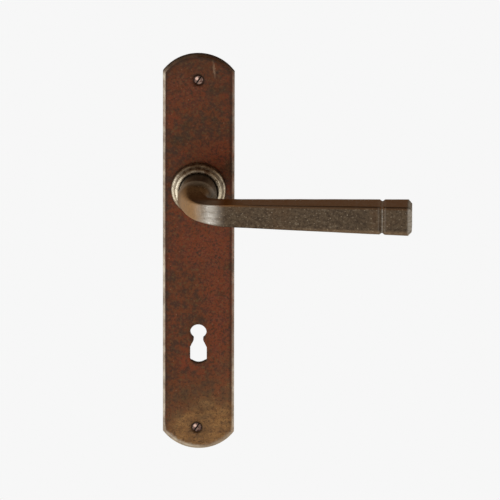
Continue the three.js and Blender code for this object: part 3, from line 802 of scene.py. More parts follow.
def nearestOf(flat):
    tree = kdtree.KDTree(len(flat))
    for i, p in enumerate(flat):
        tree.insert((p.x, p.y, 0), i)
    tree.balance()
    return tree


def within(spot, loop):
    hit = False
    for i, p in enumerate(loop):
        q = loop[i - 1]
        if (p[2] > spot.y) != (q[2] > spot.y):
            if spot.x < (q[0] - p[0]) * (spot.y - p[2]) / (q[2] - p[2]) + p[0]:
                hit = not hit
    return hit


def inside(spot, loops):
    return within(spot, loops[0]) and not any(within(spot, loop) for loop in loops[1:])


def circle(x, z, radius, y, count=48):
    spots = [onCircle(radius, tau * i / count) for i in range(count)]
    return [(x + px, y, z + pz) for px, pz in spots]


def offsetLoop(loop, out, y):
    # a loop in X and Z moved outwards along its own normals; it runs anticlockwise as drawn from the front
    moved = []
    for i, p in enumerate(loop):
        before, after = loop[i - 1], loop[(i + 1) % len(loop)]
        run = Vector((after[0] - before[0], after[2] - before[2])).normalized()
        moved.append((p[0] + run.y * out, y, p[2] - run.x * out))
    return moved


def evenLoop(corners, spacing):
    # points at even distances along a closed outline of straight runs
    points = []
    for i, corner in enumerate(corners):
        after = corners[(i + 1) % len(corners)]
        length = math.hypot(after[0] - corner[0], after[1] - corner[1])
        count = max(1, round(length / spacing))
        for k in range(count):
            t = k / count
            x, z = (a + (b - a) * t for a, b in zip(corner, after))
            points.append((x, 0, z))
    return points


def arc(x, z, radius, start, end, steps):
    spots = [onCircle(radius, start + (end - start) * i / steps) for i in range(steps + 1)]
    return [(x + px, z + pz) for px, pz in spots]


def steppedHole(x, z, levels, count=48):
    # loops of a round hole, one for each radius and depth
    return [circle(x, z, radius, y, count) for radius, y in levels]


def steppedEdge(loop, levels):
    # copies of a loop, one for each offset and depth
    return [offsetLoop(loop, out, y) for out, y in levels]


def slab(name, finish, outer, holes, spacing=0.0, height=None):
    # outer and each hole are loops from the front to the back
    # a hole may open on one face only, and is then closed at its other end
    skin = Skin()
    skin.rings(outer)
    front, back = [outer[0]], [outer[-1]]
    for loops, opens in holes:
        rings = skin.rings(loops)
        if "front" in opens:
            front.append(loops[0])
        if "back" in opens:
            back.append(loops[-1])
        if opens == "front":
            skin.fan(rings[-1])
        if opens == "back":
            skin.fan(rings[0])
    skin.sheet(front, height, spacing)
    skin.sheet(back, None)
    return newObject(name, tidyMesh(skin.mesh(name, finishes[finish])))


def boxTool(low, high):
    corners = [(x, y, z) for x in (low[0], high[0]) for y in (low[1], high[1]) for z in (low[2], high[2])]
    faces = [(0, 1, 3, 2), (4, 6, 7, 5), (0, 4, 5, 1), (2, 3, 7, 6), (0, 2, 6, 4), (1, 5, 7, 3)]
    return newObject("tool", tidyMesh(meshFrom("tool", corners, faces)))


def rodTool(radius, start, end, count=32):
    # a rod between two points, as a cutting tool
    start, end = Vector(start), Vector(end)
    along = (end - start).normalized()
    side = along.orthogonal().normalized()
    other = along.cross(side)
    skin = Skin()
    spots = [onCircle(1, tau * i / count) for i in range(count)]
    around = [radius * (side * a + other * b) for a, b in spots]
    rings = skin.rings([[centre + spot for spot in around] for centre in (start, end)])
    skin.fan(rings[0])
    skin.fan(rings[1])
    return newObject("tool", tidyMesh(skin.mesh("tool", None)))


def move(piece, x=0, y=0, z=0, turn=None):
    if turn:
        piece.data.transform(turn)
    piece.data.transform(Matrix.Translation(Vector((x, y, z)) * mm))


def onCircle(radius, angle):
    return radius * math.cos(angle), radius * math.sin(angle)


# backplate

plate = {
    "width": 42.0,
    "thickness": 3.5,
    "top": 83.1,
    "bottom": 163.6,
    "endRadius": 25.7,
    "bevel": 1.5,
    "bevelDepth": 1.1,
    "bore": 9.3,
    "keyholeDrop": 90.0,
    "headRadius": 4.8,
    "neckHalf": 2.8,
    "neckDrop": 5.1,
    "slotHalf": 4.9,
    "shoulderDrop": 9.5,
    "sideDrop": 17.3,
    "endDrop": 19.7,
    "slotCorner": 1.1,
    "screws": ((0.0, 67.3), (-0.9, -150.0)),
    "countersink": 3.65,
    "screwHole": 1.9,
    "wave": 0.05,        # hollows left by the hammer and the file
    "edgeWander": 0.16,  # how far the hand-filed bevel strays
    "spacing": 1.15,
}
face = -plate["thickness"]


def plateOutline():
    half, radius = plate["width"] / 2, plate["endRadius"]
    rise = math.sqrt(radius ** 2 - half ** 2)
    corner = math.atan2(rise, half)
    high, low = plate["top"] - radius, radius - plate["bottom"]
    corners = arc(0, high, radius, corner, math.pi - corner, 40)
    corners += arc(0, low, radius, math.pi + corner, tau - corner, 40)
    return evenLoop(corners, 1.2)


def keyholeOutline():
    drop, neck, slot = -plate["keyholeDrop"], plate["neckHalf"], plate["slotHalf"]
    side = math.asin(neck / plate["headRadius"])
    corner = plate["slotCorner"]
    low = drop - plate["sideDrop"]
    corners = arc(0, drop, plate["headRadius"], -math.pi / 2 + side, 1.5 * math.pi - side, 40)
    corners += [(-neck, drop - plate["neckDrop"]), (-slot, drop - plate["shoulderDrop"])]
    corners += arc(corner - slot, low, corner, math.pi, 1.5 * math.pi, 6)
    sag = plate["endDrop"] - plate["sideDrop"] - corner
    for i in range(1, 16):
        t = i / 16
        corners.append(((2 * t - 1) * (slot - corner), low - corner - 4 * sag * t * (1 - t)))
    corners += arc(slot - corner, low, corner, 1.5 * math.pi, tau, 6)
    corners += [(slot, drop - plate["shoulderDrop"]), (neck, drop - plate["neckDrop"])]
    return evenLoop(corners, 0.5)


def plateInset(x, z):
    # distance in from the plate's edge
    half, radius = plate["width"] / 2, plate["endRadius"]
    inset = half - abs(x)
    if z > plate["top"] - radius:
        inset = min(inset, radius - math.hypot(x, z - plate["top"] + radius))
    if z < radius - plate["bottom"]:
        inset = min(inset, radius - math.hypot(x, z + plate["bottom"] - radius))
    return inset


def plateHeight(x, z):
    # the front face, flat beneath the collar and a little hollow elsewhere
    calm = ramp(math.hypot(x, z), 17.0, 22.0) * ramp(plateInset(x, z), 1.6, 4.0)
    hollow = 0.5 + 0.5 * ripple(x, 0, z, 11) + 0.35 * ripple(x, 3, z, 4.5, 2.0)
    return face + plate["wave"] * calm * max(0.0, hollow)


collar = {
    "radius": 16.05,
    "cavity": 12.4,
    "mouth": 11.3,
    "front": -9.5,
    "cavityFront": -7.5,
    "screwCircle": 14.23,
    "screwStart": 70.0,
    "screwRadius": 0.9,
    "screwHead": 1.9,
    "screwLength": 6.2,
    "count": 3,
}
stop = {
    "disc": 12.2,
    "lobe": 16.4,
    "lobeHalf": 22.0,
    "pinCircle": 15.0,
    "pinRadius": 1.4,
    "pinSeat": 2.4,
    "turn": 40.0,
    "back": 3.2,
    "front": 1.4,
    "flat": 6.7,
}
spring = {
    "radius": 10.6,
    "wire": 1.3,
    "anchor": 205.0,
    "turns": 1.6,
    "pinRadius": 0.7,
    "pinSeat": 2.2,
    "pinReach": 1.04,
    "driveCircle": 9.3,
    "legInset": 1.1,     # the leg ends this far inside the drive pin's circle
}
gap = 0.3            # the play around pins and screws
bossBack = -7.7      # the plane where the lever's boss ends and its journal starts
pinHalf = math.degrees((stop["pinRadius"] + gap) / stop["pinCircle"])
pinAngles = (90 + stop["lobeHalf"] + pinHalf, 90 - stop["lobeHalf"] - pinHalf - stop["turn"])
collarScrewAngles = [collar["screwStart"] + 360 / collar["count"] * i for i in range(collar["count"])]


def makePlate():
    outline = plateOutline()

    def edge(inset, y, wander=0.0):
        loop = []
        for p, q in zip(outline, offsetLoop(outline, -inset, y)):
            uneven = 0.5 * ripple(p[0], 0, p[2], 7.0, 4.0) + 0.3 * ripple(p[0], 5, p[2], 2.6)
            stray = wander * (0.5 + uneven)
            direction = Vector((q[0] - p[0], q[2] - p[2])).normalized() if inset else Vector((0, 0))
            loop.append((q[0] + direction.x * stray, y, q[2] + direction.y * stray))
        return loop

    bevel, depth, stray = plate["bevel"], plate["bevelDepth"], plate["edgeWander"]
    outer = [
        edge(bevel + 0.75, face), edge(bevel + 0.42, face + 0.05), edge(bevel + 0.18, face + 0.06, stray),
        edge(bevel - 0.02, face + 0.03, stray), edge(bevel - 0.16, face + 0.12, stray),
        edge(bevel * 0.55, face + depth * 0.50, stray * 0.6), edge(0.22, face + depth * 0.86, stray * 0.3),
        edge(0.07, face + depth + 0.02), edge(0.0001, face + depth + 0.22), edge(0.0001, -0.18),
        edge(0.18, 0.0),
    ]
    levels = ((0.22, face), (0.06, face + 0.07), (0, face + 0.25), (0, -0.15), (0.15, 0.0))
    holes = [(steppedEdge(keyholeOutline(), levels), "front back")]
    bore = plate["bore"]
    levels = ((bore + 0.15, face), (bore, face + 0.15), (bore, 0))
    holes.append((steppedHole(0, 0, levels, 96), "front back"))
    sink, shank = plate["countersink"], plate["screwHole"]
    levels = ((sink + 0.16, face), (sink, face + 0.08), (shank, face + sink - shank), (shank, 0))
    for x, z in plate["screws"]:
        holes.append((steppedHole(x, z, levels), "front back"))
    thin, wide = collar["screwRadius"] + gap, collar["screwHead"] + gap
    for angle in collarScrewAngles:
        x, z = onCircle(collar["screwCircle"], math.radians(angle))
        holes.append((steppedHole(x, z, ((thin, face), (thin, thin - wide), (wide, 0))), "front back"))
    wide = stop["pinRadius"] + gap
    for angle in pinAngles:
        x, z = onCircle(stop["pinCircle"], math.radians(angle))
        holes.append((steppedHole(x, z, ((wide, -stop["pinSeat"]), (wide, 0))), "back"))
    x, z = onCircle(spring["radius"], math.radians(spring["anchor"]))
    wide = spring["pinRadius"] + gap
    levels = ((wide, face), (wide, face + spring["pinSeat"] + gap))
    holes.append((steppedHole(x, z, levels, 24), "front"))
    piece = slab("backplate_aged", "plate", outer, holes, plate["spacing"], plateHeight)

    # bare metal rubbed bright on the front bevel, and painted highlight on it: brighter on the left, where
    # the left light falls, and dimmer along the top arc
    def wear_and_highlight(x, y, z):
        inset = plateInset(x, z)
        high = 0.15 * ramp(z, 10, 50)
        inner, outer = (1.6 + high, 1.2 + high) if x < 0 else (1.75, 0.35)
        low = ramp(z, 16 - plate["bottom"], 8 - plate["bottom"])
        band = ramp(inset, inner + 1.4 * low, outer + 0.4 * low) * ramp(inset, -0.05, 0.12)
        band = band * (1 if y < -0.4 else 0.25)
        # painted shade: the top arc's bevel faces up, away from the lights, and is kept dark
        crown = 1 - 0.85 * ramp(z, plate["top"] - 15, plate["top"] - 7)
        side = 1.0 if x < 0 else 0.5 + 0.32 * ramp(z, -60, -120)
        return band * crown * side * (0.80 + 0.45 * ripple(x, 0, z, 6, 9.0))

    # painted shade: a dark line just inside the bevel, the hole walls, rings in the screw countersinks, a
    # ring round the collar's foot, and the top edge
    def grime_and_shade(x, y, z):
        inset = plateInset(x, z)
        line = ramp(inset, 1.45, 1.65) * ramp(inset, 2.9, 1.95) * (0.75 - 0.6 * ramp(z, -120, -150))
        line = line if y < -3 else 0
        deep = ramp(y, face + 0.1, face + 0.5) if inset > 3 and y < -0.05 else 0
        away = min(math.hypot(x - cx, z - cz) for cx, cz in plate["screws"])
        ring = 0.6 * ramp(away, sink + 0.4, sink + 0.05)
        seat = ramp(math.hypot(x, z), collar["radius"] + 0.9, collar["radius"] + 0.1) * 0.35
        crown = 0.9 * ramp(z, plate["top"] - 15, plate["top"] - 7) * ramp(inset, 0.9, 0.3)
        return max(line, deep, ring, seat, crown)

    setOwn(piece.data, "wear_and_highlight", wear_and_highlight)
    setOwn(piece.data, "grime_and_shade", grime_and_shade)
    settle(piece, "plate_body", "plate_metal", "backplate")


makePlate()
print("backplate ready")


# fixing screws

screw = {
    "headRadius": 2.95,
    "sunk": 0.4,
    "shank": 1.6,
    "length": 25.0,
    "tip": 4.5,
    "threadFrom": 6.5,     # from the head's face
    "threadDepth": 0.42,
    "pitch": 1.5,
    "slotWidth": 0.8,
    "slotDepth": 0.8,
    "slotAngle": 57.0,
}


def makeFixingScrews():
    top = face + screw["sunk"]
    head, shank = screw["headRadius"], screw["shank"]
    end = top + screw["length"]
    start = top + screw["threadFrom"]
    core = shank - screw["threadDepth"]
    corners = [(0.26 * i, top - 0.12 * (1 - (i / 10) ** 2)) for i in range(11)]
    corners += [(head - 0.06, top + 0.14), (head, top + 0.3),
               (shank + 0.1, top + 0.3 + head - shank), (shank, top + 0.6 + head - shank), (shank, start)]
    long = end - screw["tip"] - start
    steps = int(long / screw["pitch"] * 9)
    corners += [(core, start + 0.2 + (long - 0.2) * i / steps) for i in range(steps + 1)]
    corners += [(core * (1 - i / 20), end - screw["tip"] + screw["tip"] * i / 20) for i in range(1, 21)]
    for name, (x, z) in zip(("fixing_screw_top", "fixing_screw_bottom"), plate["screws"]):
        piece = grow(
            name + "_slotted", profileFrom(name, corners), "turning", finishes["screw"], Segments=40,
            Thread=screw["threadDepth"] * mm, Pitch=screw["pitch"] * mm,
            From=(start + 0.3) * mm, To=(end - 0.6) * mm)
        half = screw["slotWidth"] / 2
        slot = boxTool((-4, top - 1, -half), (4, top + screw["slotDepth"], half))
        move(slot, turn=Matrix.Rotation(-math.radians(screw["slotAngle"]), 4, "Y"))
        carve(piece, slot)
        easeEdges(piece, 0.07, 50)
        tidyMesh(piece.data, 40)
        lean = math.radians(screw["slotAngle"])

        # a little rubbed metal along the slot's edges, and a painted highlight on the head's upper left
        def wear_and_highlight(px, py, pz):
            across = abs(-px * math.sin(lean) + pz * math.cos(lean))
            lip = ramp(across, 0.8, 0.45) * 0.25
            bright = ramp(math.hypot(px + 1.0, pz - 0.9), 1.3, 0.5)
            return max(lip, bright) * ramp(py, top + 0.2, top + 0.05) * ramp(across, 0.38, 0.42)

        # painted shade: the head's rim, the slot and the shank below the head are darkened
        def grime_and_shade(px, py, pz):
            across = abs(-px * math.sin(lean) + pz * math.cos(lean))
            rim = ramp(math.hypot(px, pz), 2.2, 2.75) * 0.8
            deep = ramp(py, top + 0.1, top + 0.2) if py < top + 3 else 0.2
            return max(rim, deep, ramp(across, 0.44, 0.40)) if py < top + 3 else 0.2

        setOwn(piece.data, "wear_and_highlight", wear_and_highlight)
        setOwn(piece.data, "grime_and_shade", grime_and_shade)
        move(piece, x, 0, z)
        settle(piece, "plate_body", "screw_metal", name)


makeFixingScrews()
print("fixing screws ready")


# collar

def makeCollar():
    r, f = collar["radius"], collar["front"]
    mouth, cavity, behind = collar["mouth"], collar["cavity"], collar["cavityFront"]
    # radius, place along Y and rounding of each corner: foot, rim, cove, bead, lip, then the hollow behind
    corners = [
        (cavity, face, 0), (r - 0.1, face, 0), (r, face - 0.1, 0),
        (r, f + 3.35, 0.25), (r - 0.55, f + 2.45, 0.25),
        (r - 1.45, f + 2.05, 0.3), (r - 1.95, f + 1.5, 0.3),
        (r - 2.15, f + 0.8, 0.4), (r - 2.65, f + 0.2, 0.4),
        (mouth + 0.95, f, 0.5), (mouth + 0.35, f + 0.12, 0.3), (mouth, f + 0.5, 0.2),
        (mouth, behind, 0.1), (cavity, behind, 0.1),
    ]
    piece = grow(
        "collar_turned", profileFrom("collar", rounded(corners, steps=5)), "turning", finishes["collar"], 40,
        Segments=160, Wobble=0.07 * mm, Seed=3.0)
    rods = []
    deep = -collar["screwLength"] - gap
    for angle in collarScrewAngles:
        x, z = onCircle(collar["screwCircle"], math.radians(angle))
        rods.append(rodTool(collar["screwRadius"] + gap, (x, 1, z), (x, deep, z), 24))
    carve(piece, *rods)
    tidyMesh(piece.data, 40)

    # painted highlights on the bead's crest, the rim, the slope and the mouth's lip, where the left and
    # right lights would catch them
    def wear_and_highlight(x, y, z):
        radius = math.hypot(x, z)
        left = ramp(-x / max(radius, 1), 0.5, 0.96)
        right = ramp(x / max(radius, 1), 0.45, 0.9)
        crest = ramp(abs(radius - 12.5 - 0.7 * right), 1.9, 0.5) * ramp(y, f + 1.4, f + 0.2)
        rim = ramp(abs(radius - 15.5), 0.9, 0.2) * ramp(y, f + 3.6, f + 2.6) * 0.85
        slope = max(0.8 * left, 0.5 * right) * ramp(y, f + 3.6, f + 2.2)
        lip = left * ramp(radius, 12.6, 11.9) * 0.9
        return max(max(crest, rim) * (0.08 + 0.92 * max(left, right)), slope, lip)

    # painted shade: in the cove, more on the right, at the foot against the plate, and inside the mouth on
    # the right
    def grime_and_shade(x, y, z):
        radius = math.hypot(x, z)
        left = ramp(-x / max(radius, 1), 0.5, 0.96)
        cove = ramp(abs(radius - 14.5), 0.55, 0.1) * ramp(y, f + 1.2, f + 1.9) * (0.55 - 0.45 * left)
        foot = ramp(y, face - 0.9, face - 0.1) * 0.5
        inner = ramp(radius, 12.5, 11.9) * ramp(x, 0, 6) * 0.75
        return max(cove, foot, inner)

    setOwn(piece.data, "wear_and_highlight", wear_and_highlight)
    setOwn(piece.data, "grime_and_shade", grime_and_shade)
    settle(piece, "plate_body", "collar_metal", "collar_ring")


def makeCollarScrews():
    head, thin, length = collar["screwHead"], collar["screwRadius"], collar["screwLength"]
    corners = [(0, 0), (head - 0.1, 0), (head, -0.1), (thin, thin - head - 0.1), (thin, -1.6)]
    corners += [(thin - 0.16, -1.7 - (length - 1.9) * i / 60) for i in range(61)]
    corners += [(0, -length)]
    one = grow(
        "collar_screw", profileFrom("collar_screw", corners), "turning", finishes["steel"], Segments=28,
        Thread=0.16 * mm, Pitch=0.6 * mm, From=(-length + 0.3) * mm, To=-1.7 * mm)
    carve(one, boxTool((-4, -0.5, -0.25), (4, 1, 0.25)))
    piece = grow(
        "collar_screws_small", one.data.copy(), "around", finishes["steel"], 40,
        Count=collar["count"], Radius=collar["screwCircle"] * mm,
        Start=math.radians(collar["screwStart"]), Spacing=tau / collar["count"], Twist=1.1)
    bpy.data.objects.remove(one)
    settle(piece, "plate_body", "steel", "collar_screw_1", "collar_screw_2", "collar_screw_3")


makeCollar()
makeCollarScrews()
print("collar ready")


# bearing bush, pins and return spring

bush = {"inner": 7.8, "outer": 9.0, "flange": 11.2, "flangeThickness": 0.8, "washer": 0.6}


def makeBearing():
    inner, outer, flange, thick = bush["inner"], bush["outer"], bush["flange"], bush["flangeThickness"]
    corners = [(inner, face, 0.2), (outer, face, 0.2), (outer, 0, 0), (flange, 0, 0.15),
               (flange, thick, 0.2), (inner, thick, 0.2)]
    piece = turnedPiece("bearing_bush_bronze", corners, "bronze")
    settle(piece, "plate_body", "bronze", "bearing_bush")
    back = thick + bush["washer"]
    corners = [(inner, thick, 0.1), (flange, thick, 0.1), (flange, back, 0.1), (inner, back, 0.1)]
    piece = turnedPiece("thrust_washer_moulded", corners, "nylon")
    settle(piece, "lever_body", "nylon", "thrust_washer")


def makePins():
    r, seat, back = stop["pinRadius"], stop["pinSeat"], stop["back"]
    corners = [(0, -seat), (r - 0.2, -seat), (r, -seat + 0.2), (r, back - 0.35), (r - 0.12, back - 0.12),
               (r - 0.4, back), (0, back)]
    one = grow("pin", profileFrom("pin", corners), "turning", finishes["steel"], Segments=40)
    first, second = (math.radians(a) for a in pinAngles)
    piece = grow("stop_pins_pair", one.data.copy(), "around", finishes["steel"], Count=2,
                 Radius=stop["pinCircle"] * mm, Start=first, Spacing=second - first, Twist=0.0)
    bpy.data.objects.remove(one)
    settle(piece, "plate_body", "steel", "stop_pin_1", "stop_pin_2")
    r, seat, reach = spring["pinRadius"], spring["pinSeat"], spring["pinReach"]
    # name, circle, angle, from and to along Y, body
    places = (
        ("spring_anchor_pin", spring["radius"], spring["anchor"], face - reach, face + seat, "plate_body"),
        ("spring_drive_pin", spring["driveCircle"], spring["anchor"] + 360 * spring["turns"],
         bossBack - seat, collar["cavityFront"] + reach, "lever_body"),
    )
    for name, radius, angle, low, high, body in places:
        corners = [(0, low), (r - 0.12, low), (r, low + 0.12), (r, high - 0.12), (r - 0.12, high), (0, high)]
        profile = profileFrom(name, corners)
        piece = grow(name + "_turned", profile, "turning", finishes["steel"], Segments=24)
        x, z = onCircle(radius, math.radians(angle))
        move(piece, x, 0, z)
        settle(piece, body, "steel", name)


def makeSpring():
    wire = spring["wire"]
    low = face - wire / 2 - 0.1
    high = collar["cavityFront"] + wire / 2 + 0.1
    start = math.radians(spring["anchor"]) + (spring["pinRadius"] + gap) / spring["radius"]
    leg = (spring["pinRadius"] + wire / 2 + gap) / spring["driveCircle"]
    end = math.radians(spring["anchor"]) + spring["turns"] * tau - leg
    points = []
    for i in range(121):
        t = i / 120
        x, z = onCircle(spring["radius"], start + (end - start) * t)
        points.append((x, low + (high - low) * t, z))
    inward = spring["driveCircle"] - spring["legInset"] - spring["radius"]
    for step in (0.35, 0.7, 1.0):
        x, z = onCircle(spring["radius"] + inward * step, end + 0.02 * step)
        points.append((x, high, z))
    mesh = bpy.data.meshes.new("spring_path")
    mesh.from_pydata([Vector(p) * mm for p in points], [(i, i + 1) for i in range(len(points) - 1)], [])
    piece = grow("return_spring_wound", mesh, "sweep", finishes["oiled"], 45, Radius=wire / 2 * mm, Sides=16)
    settle(piece, "plate_body", "spring_steel", "return_spring")


makeBearing()
makePins()
makeSpring()
print("bearing, pins and spring ready")


# lever

lever = {
    "boss": 11.0,
    "journal": 7.5,
    "journalBack": 6.4,
    "journalFlats": 1.2,  # where the two flats start
    "clipGroove": (4.2, 5.4, 0.6),     # from, to and depth
    "length": 126.3,
    "reach": 42.05,
    "gripStart": 21.0,
    "gripHeight": 14.1,
    "gripDepth": 10.7,
    "tipHeight": 17.6,
    "tipDepth": 15.1,
    "droop": 1.35,
    "edge": 0.55,
    "tipEdge": 1.5,
    # each long edge's share of that: back above, front above, front below, back below
    "edges": (0.3, 0.3, 1.25, 0.8),
    "endChamfer": 2.1,
    "groove": 108.9,
    "grooveWidth": 3.3,
    "grooveDepth": 0.8,
    "forging": 0.10,      # shallow hollows left by the hammer
    "shoulder": 0.35,
    "swell": 0.3,         # the tip is a little fuller above and below
    "flatness": 0.6,      # how nearly flat the edge chamfers are at the tip
    "socket": 4.3,
    "spindleIn": 17.3,
    "grubAhead": 10.0,
    "grubRadius": 2.2,
    # x, distance ahead of the plate, heading, half depth, half height, edge
    "neck": (
        (0, 12, 0, 11.0, 11.0, 11.0),
        (-0.5, 17.2, 0, 11.25, 10.9, 10.6),
        (-0.7, 21.4, 8, 9.6, 8.9, 7.4),
        (-0.7, 25.8, 18, 7.7, 6.8, 4.2),
        (0.5, 31, 33, 6.6, 5.8, 2),
        (4, 36.2, 50, 6.4, 5.7, 1.1),
        (9.4, 39.7, 68, 6.1, 6.2, 0.8),
        (15, 41.5, 81, 5.7, 6.7, 0.65),
        (21, 42.05, 90, 5.35, 7.05, 0.55),
    ),
}


def eased(t):
    # a rise from 0 to 1 whose ends are softened
    if t <= 0 or t >= 1:
        return min(1.0, max(0.0, t))
    return 0.5 * (t + t * t * (3 - 2 * t))


def leverInset(x):
    groove = max(0.0, 1 - abs(x - lever["groove"]) / (lever["grooveWidth"] / 2))
    end = max(0.0, (x - lever["length"] + lever["endChamfer"]) / lever["endChamfer"])
    return lever["grooveDepth"] * eased(groove) + 0.9 * lever["endChamfer"] * end


def alongGrip(x):
    # 0 where the grip starts, 1 at its tip
    return (x - lever["gripStart"]) / (lever["length"] - lever["gripStart"])


def between(first, last, along):
    # a size of the grip, from its value at the start to its value at the tip
    return lever[first] + (lever[last] - lever[first]) * along


def gripStation(x, inset):
    along = alongGrip(x)
    depth = between("gripDepth", "tipDepth", along) / 2 - inset
    height = between("gripHeight", "tipHeight", along) / 2 - inset
    return (x, lever["reach"], 90, depth, height, between("edge", "tipEdge", along))


def leverSection(station, cornerSteps=8, faceSteps=9):
    x, ahead, heading, halfDepth, halfHeight, edge = station
    angle = math.radians(heading)
    droop = -lever["droop"] * max(0.0, alongGrip(x))
    flat = lever["flatness"] * ramp(x, 30, 90)
    square = ramp(heading, 40, 85)
    corners = []
    for quarter, (across, up) in enumerate(((1, 1), (-1, 1), (-1, -1), (1, -1))):
        own = edge * (1 + (lever["edges"][quarter] - 1) * square)
        centre = Vector((across * (halfDepth - own), up * (halfHeight - own)))
        ends = [centre + own * Vector(onCircle(1, (quarter + k) * math.pi / 2)) for k in (0, 1)]
        corner = []
        for step in range(cornerSteps + 1):
            t = step / cornerSteps
            bow = centre + own * Vector(onCircle(1, (quarter + t) * math.pi / 2))
            corner.append(bow.lerp(ends[0].lerp(ends[1], t), flat * 4 * t * (1 - t)))
        corners.append(corner)
    flow = []
    for quarter, corner in enumerate(corners):
        flow.extend(corner)
        target = corners[(quarter + 1) % 4][0]
        flow.extend(corner[-1].lerp(target, step / (faceSteps + 1)) for step in range(1, faceSteps + 1))
    swell = lever["swell"] * ramp(x, 21, 110)
    # a low step where the neck leaves the boss
    step = lever["shoulder"] * ramp(ahead, 17.1, 18.0) * ramp(ahead, 27, 19)
    points = []
    for u, v in flow:
        uneven = 0.5 * ripple(x + u, ahead, v, 13, 1.0) + 0.3 * ripple(x + 2 * u, ahead, v * 1.4, 5, 6.0)
        inward = lever["forging"] * ramp(ahead, 20, 30) * (0.5 + uneven)
        shrink = 1 - (max(0.0, inward) + step) / max(abs(u), abs(v), 1)
        u, v = u * shrink, v * shrink + (swell if v > 0 else -swell) * min(1.0, abs(v) / 3)
        points.append((x + u * math.cos(angle), face - ahead + u * math.sin(angle), droop + v))
    return points


def leverStations():
    neck = lever["neck"]
    columns = list(zip(*neck))
    steps = (len(neck) - 1) * 9
    back = face - bossBack
    ease = 0.25     # the boss's back edge
    full = (lever["boss"],) * 3
    stations = [(0, back, 0) + (lever["boss"] - ease,) * 3]
    straight = neck[0][1] - back - ease
    stations += [(0, back + ease + straight * i / 6, 0) + full for i in range(6)]
    stations += [tuple(smoothValue(column, i / steps) for column in columns) for i in range(steps + 1)]
    half, start, end = lever["grooveWidth"] / 2, lever["gripStart"], lever["length"] - lever["endChamfer"]
    places = [start + (lever["groove"] - half - start) * i / 70 for i in range(1, 71)]
    places += [lever["groove"] - half + lever["grooveWidth"] * i / 16 for i in range(1, 17)]
    first = places[-1]
    places += [first + (end - first) * i / 14 for i in range(1, 15)]
    places += [end + lever["endChamfer"] * t for t in (0.06, 0.3, 0.6, 0.9, 0.97)]
    stations += [gripStation(x, leverInset(x)) for x in places]
    last = leverInset(lever["length"])
    stations += [gripStation(lever["length"] - 0.01, last + 0.25), gripStation(lever["length"], last + 0.6)]
    return stations


